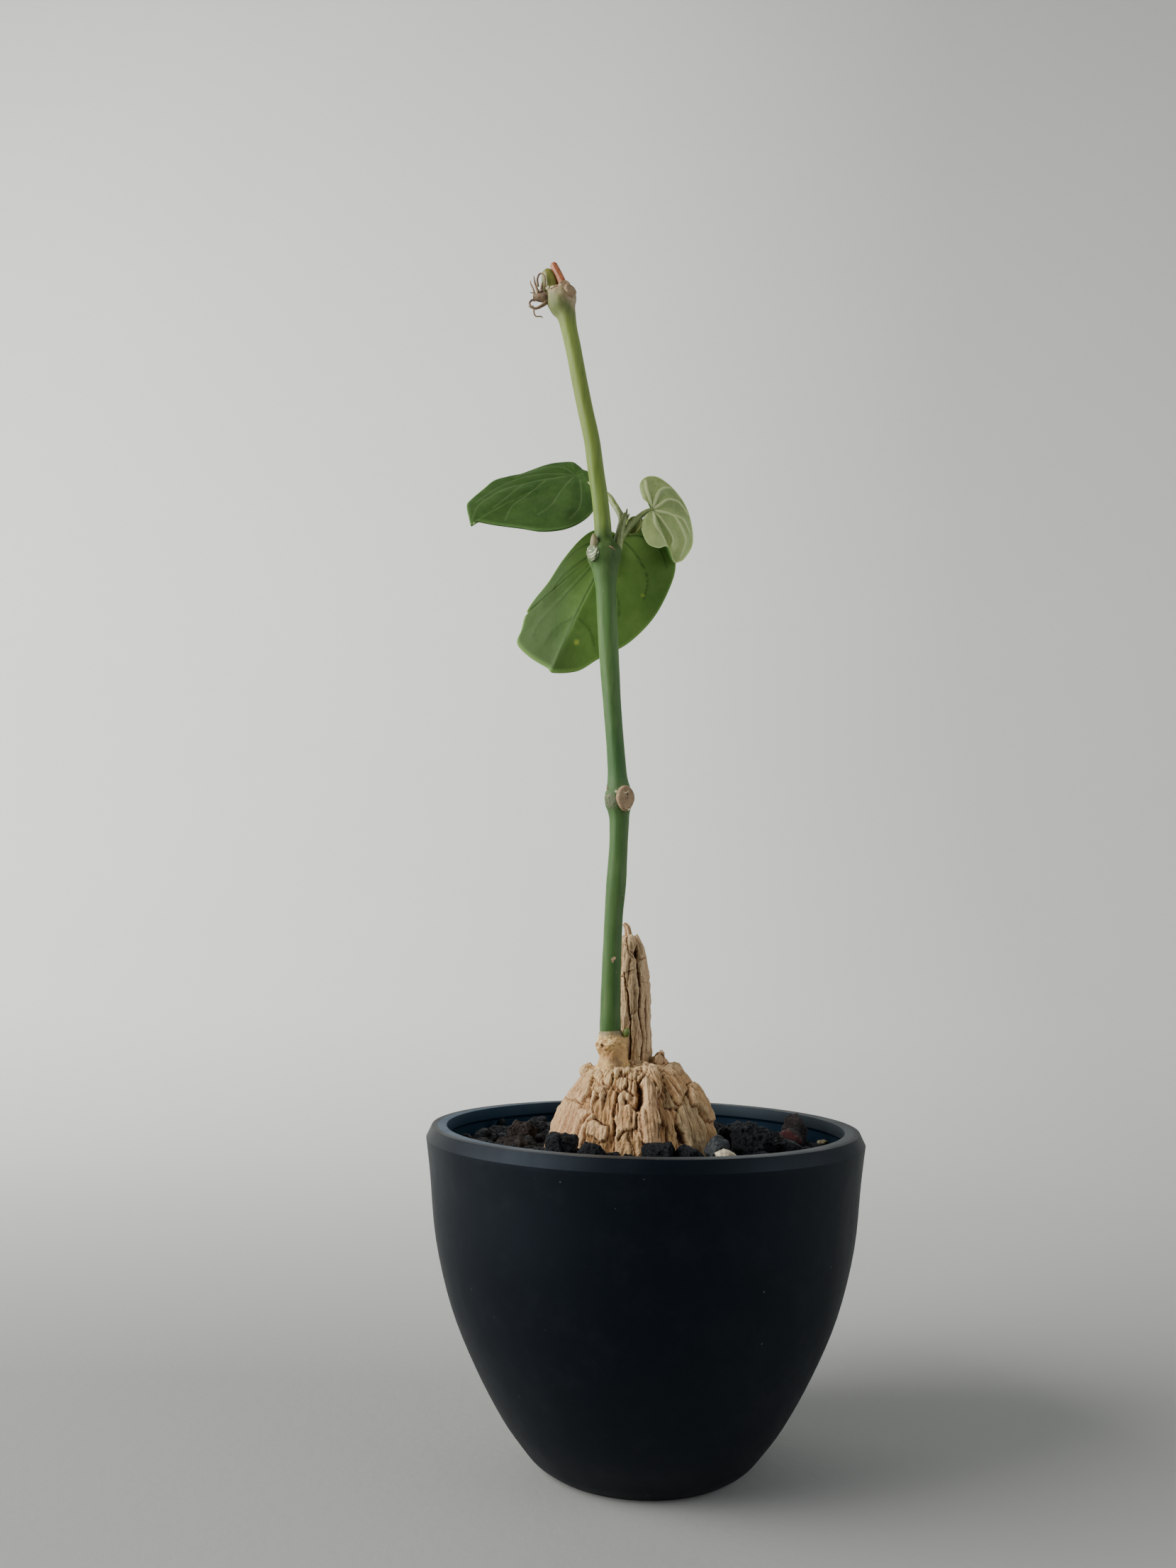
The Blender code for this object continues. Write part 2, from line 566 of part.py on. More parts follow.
def bark_blocks():
    """Every block of the bark: angle, length up from the soil, stand-out and slenderness."""
    rng = random.Random(CAUDEX_SEED)
    blocks = [(math.radians(angle), up, out, slim) for angle, up, out, slim in FRONT_BLOCKS]
    for column in range(BACK_COLUMNS):
        share = column / (BACK_COLUMNS - 1)
        angle = BACK_FIRST + (BACK_LAST - BACK_FIRST) * share
        for level in BACK_LEVELS:
            if column in (0, BACK_COLUMNS - 1) and level == BACK_LEVELS[0]:
                continue
            blocks.append((
                math.radians(angle + rng.uniform(-6, 6)), level + rng.uniform(-0.002, 0.002),
                rng.uniform(-0.0012, 0.0006), rng.uniform(1.6, 3.0),
            ))
    return blocks


def bark_relief(angle, radius, up, blocks):
    """How far the bark lies outside its envelope at one point of it."""
    nearest = (9.0, 0.0)
    second = 9.0
    warp = noise.noise(Vector((angle * 3.0, up * 160.0, 4.0))) * 0.0016
    for block_angle, block_up, out, slim in blocks:
        turn = (angle - block_angle + math.pi) % (2 * math.pi) - math.pi
        across = turn * max(radius, 0.008) + warp
        along = (up - block_up) / slim * 1.35
        distance = math.hypot(across, along)
        if distance < nearest[0]:
            second = nearest[0]
            nearest = (distance, out)
        elif distance < second:
            second = distance
    edge = second - nearest[0]
    crack = math.exp(-(edge / CRACK_WIDTH) ** 2)
    crown = BLOCK_CROWN * (1.0 - min(nearest[0] / 0.0045, 1.0) ** 2)
    grain = 0.00035 * noise.noise(Vector((angle * 26.0, up * 110.0, 9.0)))
    return nearest[1] + crown + grain - CRACK_DEPTH * crack - BLOCK_CROWN


def make_caudex_dome():
    """The tuber: a bark-covered dome above the soil and a smooth taproot below it."""
    profile = caudex_profile()
    blocks = bark_blocks()
    shape = bmesh.new()
    rings = []
    previous = None
    for index, (radius, height, up) in enumerate(profile):
        step = BARK_STEP if up > -0.004 else 0.005
        is_pole = radius < 1e-6
        if previous is not None and previous - up < step and not is_pole:
            continue
        previous = up
        if is_pole:
            rings.append([shape.verts.new((CAUDEX_AXIS[0], CAUDEX_AXIS[1], height))])
            continue
        before = profile[max(index - 1, 0)]
        after = profile[min(index + 1, len(profile) - 1)]
        slope = Vector((after[0] - before[0], 0.0, after[1] - before[1])).normalized()
        outward = Vector((-slope.z, 0.0, slope.x))
        fade = min(max((up + 0.007) / 0.005, 0.0), 1.0) * min(radius / 0.006, 1.0)
        ring = []
        for column in range(BARK_COLUMNS):
            angle = 2 * math.pi * column / BARK_COLUMNS
            relief = bark_relief(angle, radius, up, blocks) * fade if fade > 0 else 0.0
            reach = radius + outward.x * relief
            ring.append(shape.verts.new((
                CAUDEX_AXIS[0] + reach * math.sin(angle),
                CAUDEX_AXIS[1] - reach * math.cos(angle),
                height + outward.z * relief,
            )))
        rings.append(ring)
    for first, second in zip(rings, rings[1:]):
        for column in range(BARK_COLUMNS):
            after = (column + 1) % BARK_COLUMNS
            if len(first) == 1:
                shape.faces.new((first[0], second[column], second[after]))
            elif len(second) == 1:
                shape.faces.new((first[column], second[0], first[after]))
            else:
                shape.faces.new((first[column], second[column], second[after], first[after]))
    return add_object("caudex", shape, material("bark", 0.85))


def stump_ripple(angle, share):
    """Deep upright grooves between the stump's ridges, uneven along its height."""
    wander = 0.35 * noise.noise(Vector((angle, share * 4.0, 2.0)))
    wave = 0.5 + 0.5 * math.cos(STUMP_RIDGES * (angle + wander))
    knots = 0.10 * noise.noise(Vector((math.cos(angle) * 2, math.sin(angle) * 2, share * 9.0)))
    return 1.0 - STUMP_GROOVE / 0.0047 * (1.0 - wave) ** 3 + knots


def collar_ripple(angle, share):
    """Uneven lumps of the corky neck, which end in an even rim at its top."""
    lumps = noise.noise(Vector((math.cos(angle) * 1.8, math.sin(angle) * 1.8, share * 6.0)))
    return 1.0 + 0.16 * lumps * (1.0 - share)


def make_caudex():
    """The tuber with its old stump, its neck and the blocks on its shoulder, one body."""
    caudex = make_caudex_dome()
    bark = material("bark", 0.85)
    extras = [
        tube("stump", STUMP_ROUTE, 40, bark, stump_ripple, 5),
        tube("core", CORE_ROUTE, 8, bark, None, 3),
        tube("collar", COLLAR_ROUTE, 22, bark, collar_ripple, 3),
    ]
    rng = random.Random(CAUDEX_SEED + 1)
    for index, ((x, y), radius, top) in enumerate(SHOULDER_BLOCKS):
        extras.append(stone("shoulder_%d" % index, rng, (x, y), 2 * radius, top, 1.7, bark))
    boolean(caudex, extras, "UNION")
    clean(caudex)
    share = BARK_TRIANGLES / len(caudex.data.polygons)
    step = caudex.modifiers.new("fewer", "DECIMATE")
    step.ratio = min(share, 1.0)
    apply_modifiers(caudex)
    shape = bmesh.new()
    depth = COLLAR_ROUTE[-1][2] - SOCKET_BOTTOM + 0.001
    bmesh.ops.create_cone(
        shape, cap_ends=True, segments=16, radius1=SOCKET_RADIUS, radius2=SOCKET_RADIUS,
        depth=depth,
    )
    place = Vector((STEM_ROUTE[0][0], STEM_Y, SOCKET_BOTTOM + depth / 2))
    bmesh.ops.translate(shape, vec=place, verts=shape.verts)
    boolean(caudex, [add_object("socket", shape, bark)], "DIFFERENCE")
    clean(caudex)


def stone(name, rng, place, width, top, tall, finish, grow=0.0):
    """An angular stone: the hull of a few points round its middle, clear of the pot."""
    height = width * tall
    centre = Vector((place[0], place[1], top - height / 2))
    shape = bmesh.new()
    turn = rng.uniform(0.0, math.pi)
    for index in range(STONE_POINTS):
        level = 1.0 - 2.0 * (index + 0.5) / STONE_POINTS
        angle = index * 2.399963 + turn + rng.uniform(-0.35, 0.35)
        reach = math.sqrt(1.0 - level * level) * rng.uniform(0.86, 1.12)
        offset = Vector((
            reach * math.cos(angle) * (width / 2 + grow),
            reach * math.sin(angle) * (width / 2 * 0.92 + grow),
            level * rng.uniform(0.94, 1.0) * (height / 2 + grow),
        ))
        point = centre + offset
        far = math.hypot(point.x, point.y)
        limit = cavity_radius(min(max(point.z, BED_BOTTOM), RIM_HEIGHT)) - 3 * GAP
        if point.z > MIX_TOP and far > min(limit, LIP_INNER_RADIUS - 2 * GAP):
            share = min(limit, LIP_INNER_RADIUS - 2 * GAP) / far
            point.x *= share
            point.y *= share
        shape.verts.new(point)
    hull = bmesh.ops.convex_hull(shape, input=shape.verts)
    spare = [item for item in hull["geom_interior"] if isinstance(item, bmesh.types.BMVert)]
    bmesh.ops.delete(shape, geom=spare, context="VERTS")
    return add_object(name, shape, finish, math.radians(20))


def bed_stones():
    """Places of the black stones: the named ones, then a seeded fill of the whole ring."""
    rng = random.Random(STONE_SEED)
    places = list(BLACK_STONES)
    taken = [(x, y, width) for x, y, width, _ in BLACK_STONES]
    taken += [(x, y, width) for x, y, width, _, _ in COLOURED_STONES.values()]
    for _ in range(STONE_TRIES):
        width = rng.uniform(STONE_SMALLEST, STONE_LARGEST)
        angle = rng.uniform(0.0, 2 * math.pi)
        reach = math.sqrt(rng.uniform(0.020 ** 2, 0.050 ** 2))
        x = reach * math.cos(angle)
        y = reach * math.sin(angle)
        top = rng.uniform(0.0772, 0.0798)
        from_tuber = math.hypot(x - CAUDEX_AXIS[0], y - CAUDEX_AXIS[1])
        if from_tuber < 0.0222 + width * 0.42 or reach > 0.0512 - width * 0.40:
            continue
        if any(math.hypot(x - a, y - b) < 0.39 * (width + c) for a, b, c in taken):
            continue
        taken.append((x, y, width))
        places.append((x, y, width, top))
    return places


def make_gravel():
    """The black bed with its stones, hollowed for the tuber and the other stones."""
    lava = material("lava", 0.9)
    limit = cavity_radius(BED_BOTTOM) - 3 * GAP
    bed = turned(
        "lava_gravel", [(0.0, BED_TOP), (limit, BED_TOP), (limit, BED_BOTTOM), (0.0, BED_BOTTOM)],
        FILL_SIDES, lava,
    )
    rng = random.Random(STONE_SEED + 1)
    stones = []
    for index, (x, y, width, top) in enumerate(bed_stones()):
        height = max(STONE_FLATNESS * width, top - BED_TOP + STONE_SUNK)
        height = min(height, top - BED_BOTTOM - 3 * GAP)
        stones.append(stone("stone_%d" % index, rng, (x, y), width, top, height / width, lava))
    boolean(bed, stones, "UNION")
    cutters = [tuber_cutter()]
    for name, (x, y, width, top, tall) in COLOURED_STONES.items():
        spot = random.Random(name)
        cutters.append(stone(
            name + "_hollow", spot, (x, y), width, top, tall, lava, grow=1.5 * GAP,
        ))
    boolean(bed, cutters, "DIFFERENCE")
    clean(bed, 0.00002)


def tuber_cutter():
    """The tuber's envelope grown by its clearance, which hollows the bed round it."""
    profile = [
        (radius + 0.0007 if radius > 1e-6 else 0.0, height)
        for radius, height in CAUDEX_OUTSIDE[:9]
    ]
    profile.append((CAUDEX_OUTSIDE[8][0] + 0.0007, 0.0600))
    profile.append((0.0, 0.0600))
    cutter = turned("tuber_hollow", profile, FILL_SIDES, material("lava", 0.9))
    for vertex in cutter.data.vertices:
        vertex.co.x += CAUDEX_AXIS[0]
        vertex.co.y += CAUDEX_AXIS[1]
    return cutter


def make_coloured_stones():
    finishes = {
        "lava_stone_brown_back": material("lava_brown", 0.9),
        "lava_stone_brown_front": material("lava_brown", 0.9),
        "lava_stone_tall": material("lava_grey", 0.85),
        "lava_stone_red": material("lava_red", 0.7),
        "pebble_grey": material("pebble", 0.5),
        "chip_pale_front": material("chip", 0.8),
        "chip_pale_right": material("chip", 0.8),
    }
    for name, (x, y, width, top, tall) in COLOURED_STONES.items():
        stone(name, random.Random(name), (x, y), width, top, tall, finishes[name])


def make_potting_mix():
    """The fill under the gravel, with a plain pocket for the taproot."""
    walls = [(r, z) for r, z in cavity_profile() if z < MIX_TOP and z > 0.005]
    floor_radius, floor_height = cavity_profile()[-1]
    profile = [(0.0, MIX_TOP)]
    profile.append((cavity_radius(MIX_TOP) - 1.5 * GAP, MIX_TOP))
    profile += [(r - 1.5 * GAP, z) for r, z in walls]
    profile.append((floor_radius - 1.5 * GAP, floor_height + GAP))
    profile.append((0.0, floor_height + GAP))
    mix = turned("potting_mix", profile, FILL_SIDES, material("mix", 0.95))
    pocket = [(0.0, 0.0780), (0.0252, 0.0780)]
    for radius, height in CAUDEX_OUTSIDE[8:-1]:
        pocket.append((radius + 0.0009, height))
    pocket.append((0.0, CAUDEX_OUTSIDE[-1][1] - 0.0009))
    cutter = turned("root_pocket", pocket, FILL_SIDES, material("mix", 0.95))
    for vertex in cutter.data.vertices:
        vertex.co.x += CAUDEX_AXIS[0]
        vertex.co.y += CAUDEX_AXIS[1]
    boolean(mix, [cutter], "DIFFERENCE")
    clean(mix)


def make_stem():
    """The green stem with its swollen nodes, raised scars and the green stub."""
    green = material("stem", 0.5)
    start_x, start_z, _ = STEM_ROUTE[0]
    route = [
        (start_x, STEM_Y, SOCKET_BOTTOM + GAP, PEG_RADIUS),
        (start_x, STEM_Y, start_z - 0.0001, PEG_RADIUS),
    ]
    route += [(x, STEM_Y, z, radius) for x, z, radius in STEM_ROUTE]
    stem = tube("main_stem", route, STEM_SIDES, green)
    extras = [tube("green_stub", GREEN_STUB_ROUTE, 8, green)]
    for index, (centre, half_sizes, turn) in enumerate(STEM_BLOBS):
        extras.append(blob("scar_%d" % index, centre, half_sizes, turn, green))
    boolean(stem, extras, "UNION")
    clean(stem)


def make_small_parts():
    """Stubs, buds, the dried flower and the side shoot."""
    tube("orange_stub", ORANGE_STUB_ROUTE, 8, material("stub", 0.5))
    tube("axillary_bud", AXILLARY_BUD_ROUTE, 8, material("bud", 0.7))
    tube("basal_bud", BASAL_BUD_ROUTE, 8, material("bud_green", 0.6))
    dried = material("dried", 0.85)
    flower = tube("dried_flower", FLOWER_CUP_ROUTE, 8, dried)
    threads = []
    for index, points in enumerate(FLOWER_THREADS):
        route = [(*point, THREAD_RADIUS) for point in points]
        threads.append(tube("thread_%d" % index, route, 5, dried, None, 2))
    boolean(flower, threads, "UNION")
    clean(flower)
    green = material("stem", 0.5)
    shoot = tube("side_shoot", SHOOT_ROUTE, 8, green)
    scales = []
    for index, points in enumerate(SHOOT_SCALES):
        last = len(points) - 1
        route = [
            (*point, SCALE_RADIUS * (1.0 - 0.45 * step / last))
            for step, point in enumerate(points)
        ]
        scales.append(tube("scale_%d" % index, route, 5, green))
    boolean(shoot, scales, "UNION")
    clean(shoot)


def blade_surface(leaf, per_span, rings):
    """Rings of points from the junction out to the leaf's edge, with ribs and a belly."""
    junction = Vector(leaf["junction"])
    belly = Vector(leaf["belly"])
    edge = [Vector(point) for point in smooth_through(leaf["edge"], per_span)]
    outward = sum(
        ((a - junction).cross(b - junction) for a, b in zip(edge, edge[1:])), Vector(),
    ).normalized()
    columns = []
    for index, end in enumerate(edge):
        on_rib = any(abs(index - rib * per_span) < 0.5 for rib in leaf["ribs"])
        column = []
        for ring in range(1, rings + 1):
            share = (ring / rings) ** 0.85
            point = junction.lerp(end, share) + belly * (4 * share * (1 - share))
            if on_rib:
                point -= outward * VEIN_RELIEF * (1 - share) ** 0.5
            column.append(point)
        columns.append(column)
    return junction, columns, outward


def make_leaf(name, leaf, finish, per_span=2, rings=BLADE_RINGS):
    """A blade of even thickness on its petiole, one body."""
    junction, columns, outward = blade_surface(leaf, per_span, rings)
    shape = bmesh.new()
    faces = []
    for side in (1, -1):
        shift = outward * (side * BLADE_THICKNESS / 2)
        centre = shape.verts.new(junction + shift)
        grid = [[shape.verts.new(point + shift) for point in column] for column in columns]
        faces.append((centre, grid))
        for left, right in zip(grid, grid[1:]):
            shape.faces.new((centre, left[0], right[0]))
            for ring in range(rings - 1):
                shape.faces.new((left[ring], left[ring + 1], right[ring + 1]))
                shape.faces.new((left[ring], right[ring + 1], right[ring]))
    (front_centre, front), (back_centre, back) = faces
    front_rim = [front_centre] + front[0] + [c[-1] for c in front[1:-1]] + front[-1][::-1]
    back_rim = [back_centre] + back[0] + [c[-1] for c in back[1:-1]] + back[-1][::-1]
    for index in range(len(front_rim)):
        after = (index + 1) % len(front_rim)
        shape.faces.new((front_rim[index], front_rim[after], back_rim[after], back_rim[index]))
    blade = add_object(name, shape, finish)
    petiole = tube(name + "_petiole", leaf["petiole"], 8, finish, None, 2)
    boolean(blade, [petiole], "UNION")
    clean(blade)


def main():
    clear_scene()
    make_pot()
    make_potting_mix()
    make_gravel()
    make_coloured_stones()
    make_caudex()
    make_stem()
    make_small_parts()
    leaf = material("leaf", 0.45)
    make_leaf("leaf_left", LEAF_LEFT, leaf)
    make_leaf("leaf_large", LEAF_LARGE, leaf)
    make_leaf("leaf_right", LEAF_RIGHT, material("leaf_pale", 0.5))
    make_leaf("young_leaf", YOUNG_LEAF, material("bud_green", 0.6), 1, 3)


main()
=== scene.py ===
"""Looks of the potted matelea: cork bark, green stem, veined leaves, lava gravel and its pot.

Metres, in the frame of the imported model. The front of the plant looks towards -Y.
"""
import math
import random

import bmesh
import bpy
import numpy as np
from mathutils import Matrix, Vector, noise


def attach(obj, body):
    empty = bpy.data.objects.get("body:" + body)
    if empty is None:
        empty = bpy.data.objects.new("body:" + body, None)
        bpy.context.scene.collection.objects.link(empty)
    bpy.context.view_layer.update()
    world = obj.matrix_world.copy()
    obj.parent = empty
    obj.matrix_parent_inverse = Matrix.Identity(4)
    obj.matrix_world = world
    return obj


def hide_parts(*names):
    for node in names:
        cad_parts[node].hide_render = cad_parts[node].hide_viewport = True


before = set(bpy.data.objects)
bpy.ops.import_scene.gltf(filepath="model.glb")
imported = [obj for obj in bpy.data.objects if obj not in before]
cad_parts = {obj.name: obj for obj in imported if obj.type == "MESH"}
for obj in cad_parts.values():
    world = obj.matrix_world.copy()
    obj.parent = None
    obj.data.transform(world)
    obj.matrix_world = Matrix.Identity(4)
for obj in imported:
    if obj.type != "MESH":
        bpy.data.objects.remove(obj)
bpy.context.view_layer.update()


def metres(values):
    """Millimetres made metres, through lists of any depth; words stay as they are."""
    if isinstance(values, dict):
        return {key: metres(value) for key, value in values.items()}
    if isinstance(values, (list, tuple)):
        return type(values)(metres(value) for value in values)
    return values if isinstance(values, str) else round(values / 1000, 8)


# Pot, repeated from the solids
RIM_RADIUS = 0.0575
RIM_HEIGHT = 0.082
RIM_CHAMFER_TOP = 0.05614
LIP_INNER_RADIUS = 0.0523
LIP_DEPTH = 0.003
LIP_STEP = 0.0012
LIP_UNDERCUT = 0.0008
WALL = 0.002
FOOT_RING_RADIUS = 0.0231
FOOT_RECESS = 0.0015
FLOOR_TOP = 0.0037
FLOOR_FILLET = 0.0022
DRAIN_RADIUS = 0.003
DRAIN_RING_RADIUS = 0.0145
DRAIN_COUNT = 6
POT_SIDES = 192
POT_WALL = [
    (0.0262, 0.0), (0.0291, 0.002), (0.0317, 0.005), (0.0369, 0.012), (0.0437, 0.024),
    (0.0499, 0.038), (0.0542, 0.054), (0.0562, 0.07), (RIM_RADIUS, 0.0791),
]
CAVITY_LEVELS = (0.07, 0.062, 0.054, 0.046, 0.038, 0.031, 0.024, 0.018, 0.012)
SOLID_CAVITY_LEVELS = (0.07, 0.054, 0.038, 0.024, 0.012)

# Levels of the filling
MIX_TOP = 0.0697
BED_BOTTOM = 0.07
BED_TOP = 0.0752
GAP = 0.0003
BED_INNER_RADIUS = 0.019
BED_COLUMNS = 240
BED_ROWS = 26

# Tuber and bark, repeated from the solids: radius and height down the envelope
CAUDEX_AXIS = (-0.0028, 0.0)
SOIL_LEVEL = 0.076
CAUDEX_OUTSIDE = metres([
    (0, 99), (6, 98.7), (11.2, 97.4), (14.6, 94.5), (17.4, 91), (19.8, 86), (21.6, 81), (23, 76),
    (23.8, 70), (21.8, 62), (16.5, 53), (10.5, 42), (5.6, 32), (2.4, 25), (0, 23.5),
])
RECESS = 0.0019
SLAB_LIFT = 0.0009
SLAB_FLOOR = 0.0008
SLAB_SEED = 11
# Keeps the jagged shifts of the cork's edges the same each run
NOISE_SEED = 5
BARK_COLUMNS = 600
BARK_STEP = 0.00025
# Length down from the soil where the bark ends, and a length that stands for nowhere near
BARK_FOOT = -0.008
FAR = 9.0
# Radius at which the bark's pattern is unrolled, and the jagged shifts of its edges: size of a
# plate, how tall it is for its size, and how far it is pushed
DOME_UNROLLED = 0.0195
DOME_JAGS = ((0.0017, 1.8, 0.00042), (0.0034, 1.6, 0.00055), (0.0008, 1.5, 0.00022))
STUMP_UNROLLED = 0.0047
STUMP_JAGS = ((0.001, 2.6, 0.00026), (0.002, 2.6, 0.00024))
# Round each slab: how wide its edge slopes, and how wide and deep the seam beside it is
DOME_EDGE = 0.00045
DOME_SEAM = 0.00017
DOME_SEAM_DEPTH = 0.00045
STUMP_EDGE = 0.0003
STUMP_SEAM = 0.00014
STUMP_SEAM_DEPTH = 0.00022

# Slabs of cork that face the front: their outlines as angle from the front in degrees and
# millimetres up the slope from the soil, then how far each stands out in millimetres, how it
# leans to the right, and its tone from cream through golden brown to olive grey
FRONT_SLABS = [
    ([(-104, 21.4), (-80, 20.8), (-72, 22.4), (-78, 24.6), (-100, 24.9)], 2.3, 0, 0.25),
    ([(-112, 24.2), (-97, 24.4), (-59, 24.1), (-57, 22.1), (-50, 18.7), (-47, 16), (-49, 14.4),
     (-52, 13.4), (-59, 14), (-72, 14.1), (-108, 14.4)], 0.9, 0.03, 0.05),
    ([(-57, 22.1), (-44, 20.4), (-39, 18.6), (-43, 17.7), (-40, 15.4), (-45, 14.3), (-49, 14.4),
     (-47, 16), (-50, 18.7)], 0.1, 0, 0.35),
    ([(-108, 14), (-72, 13.8), (-59, 13.6), (-51, 13.2), (-52, 12.4), (-45, 12), (-41, 12.8),
     (-40, 13.6), (-37, 11.4), (-41, 10), (-41, 8.3), (-42, 6), (-43, -3), (-108, -3)], 0.8, 0,
     0.1),
    ([(-39, 17.8), (-34, 16.3), (-36, 14.8), (-37, 13), (-35, 11.1), (-32, 10), (-36, 9.2),
     (-37, 7.6), (-37, 5.9), (-39, -3), (-43, -3), (-41, 8.3), (-36, 10.7), (-40, 13.6),
     (-40, 15.4), (-43, 17.3), (-43, 18.1)], 1.6, -0.02, 0.2),
    ([(-39, 18.6), (-32, 19.2), (-25, 19.3), (-31, 18.6), (-30, 17.6), (-34, 16.3), (-39, 17.8)],
     1.2, 0, 0.3),
    ([(-32, 9.5), (-26, 8.4), (-21, 8.4), (-20, 6.2), (-21, 4.9), (-24, 4.3), (-28, 4.7),
     (-32, 5.6), (-35, 6), (-35, 8.3), (-34, 9.4)], 1.5, 0, 0.25),
    ([(-34, 16.3), (-30, 17.6), (-31, 18.6), (-25, 19.1), (-19, 17.8), (-17, 15.6), (-19, 13.7),
     (-19, 11.8), (-17, 10.7), (-16, 7.3), (-15, -3), (-36, -3), (-36, 5.9), (-35, 8.3), (-32, 10),
     (-35, 11.1), (-37, 13), (-36, 14.8)], 0.4, -0.12, 0.6),
    ([(-35, 16.5), (-33, 17.7), (-29, 17.2), (-27, 15.4), (-30, 14.9)], 1.5, 0, 0.25),
    ([(-17, 16.7), (-15, 17.3), (-10, 17.9), (-6, 16.6), (-6, 15.1), (-10, 15.3), (-10, 13.9),
     (-15, 14.5)], 1.3, 0, 0.3),
    ([(-15, 14.5), (-10, 13.9), (-5, 14.1), (0, 13.3), (1, 10.9), (0, 8.3), (-3, 7.5), (-9, 7.6),
     (-13, 5.4), (-15, 6), (-14, 8.2), (-17, 10.7), (-15, 12.4)], 1, -0.05, 0.35),
    ([(-9, 7.4), (-5, 7.5), (-6, 5.8), (-2, 2.6), (-3, -3), (-15, -3), (-16, 6), (-13, 6.2),
     (-12, 5.2)], 0.9, 0, 0.4),
    ([(-5, 7.5), (1, 8.3), (3, 4.2), (4, -3), (-3, -3), (-3, 2.3), (-6, 5.8)], 0.3, -0.05, 0.65),
    ([(-6, 16.8), (1, 16.9), (2, 12.6), (0, 13.3), (-5, 14.1)], 0.7, 0, 0.5),
    ([(5, 20.6), (12, 22.2), (18, 20.8), (20, 18.7), (18, 16.4), (16, 13.5), (17, 11), (16, 7.6),
     (16, -3), (7, -3), (6, 4.2), (2, 6), (0, 9.3), (0, 12.5), (3, 13.6), (6, 15.3), (7, 17.6),
     (6, 19.6)], 1.7, 0, 0.15),
    ([(0, 12.5), (0, 9.3), (5, 6.3), (7, 4.2), (7, -3), (1, -3), (-2, 6.8)], 0.6, 0.05, 0.3),
    ([(14, 24), (25, 24.8), (28, 23.5), (27, 19.9), (23, 17.5), (20, 16.4), (18, 16.4), (20, 18.7),
     (18, 20.8), (12, 22.4)], 1.2, -0.05, 0.55),
    ([(12, 27), (30, 27.5), (29, 23.7), (23, 22.6), (15, 24), (12, 24.9)], 1.6, 0, 0.5),
    ([(0, 22.8), (10, 24), (10, 22.8), (3, 21.1), (1, 21.3)], 1.5, 0, 0.4),
    ([(-9, 22.3), (-1, 24.8), (-1, 22.1), (-5, 21.2)], 1.3, 0, 0.3),
    ([(35, 20.7), (33, 17.8), (36, 15), (38, 13.9), (36, 13.3), (24, 13.6), (28, 17.1)], 0.4,
     -0.05, 0.9),
    ([(36, 23.4), (47, 22.7), (77, 23), (104, 22), (104, 18.6), (64, 19), (60, 18.4), (49, 16.3),
     (41, 13.9), (36, 15), (33, 17.8), (35, 20.9), (32, 21.8)], 0.8, 0.03, 0.6),
    ([(44, 26.5), (104, 27.2), (104, 22.8), (67, 22.3), (47, 22.7)], 1.1, 0, 0.7),
    ([(24, 13.1), (35, 12.8), (32, 9), (32, 7.3), (29, -3), (20, -3)], 0.3, 0, 0.55),
    ([(39, 13.9), (49, 16.3), (52, 14.7), (51, 12.9), (58, 12.7), (57, 10), (63, 8), (58, 5.2),
     (56, -3), (38, -3), (37, 4.5), (36, 6.7), (32, 9), (34, 11.6), (35, 12.8)], 0.9, 0, 0.9),
    ([(62, 18.5), (78, 18.6), (104, 18.2), (104, 8), (87, 7.4), (69, 8.5), (63, 10.7), (59, 12.8),
     (51, 13.2), (52, 15), (54, 16.5)], 1.9, 0, 0.6),
    ([(66, 8.2), (104, 7.6), (104, -3), (56, -3), (55, 5.9), (62, 7.9)], 0.8, 0, 0.6),
    ([(-59, 24.1), (-52, 24.6), (-38, 21.7), (-34, 19.4), (-44, 20.4), (-57, 22.1)], 0.9, 0, 0.2),
    ([(-50, 24.7), (-31, 24.8), (-28, 22.3), (-27, 19.7), (-33, 19.6), (-38, 21.7)], 1, 0, 0.2),
    ([(-30, 24.9), (-22, 25.3), (-20, 23.4), (-21, 22), (-26, 22.4)], 1.3, 0, 0.25),
    ([(-20, 25.4), (-11, 27.8), (-7, 24.9), (-15, 22.8)], 1.2, 0, 0.4),
    ([(-22, 21.5), (-17, 22.3), (-10, 21.5), (-10, 19.5), (-15, 18.5), (-21, 19.4)], 1, 0, 0.35),
    ([(-10, 21.5), (0, 21.5), (1, 19.6), (-3, 17.4), (-8, 18.3)], 0.9, 0, 0.45),
    ([(-8, 23.8), (-2, 24.9), (-2, 22.2), (-7, 21.7)], 1.1, 0, 0.3),
]
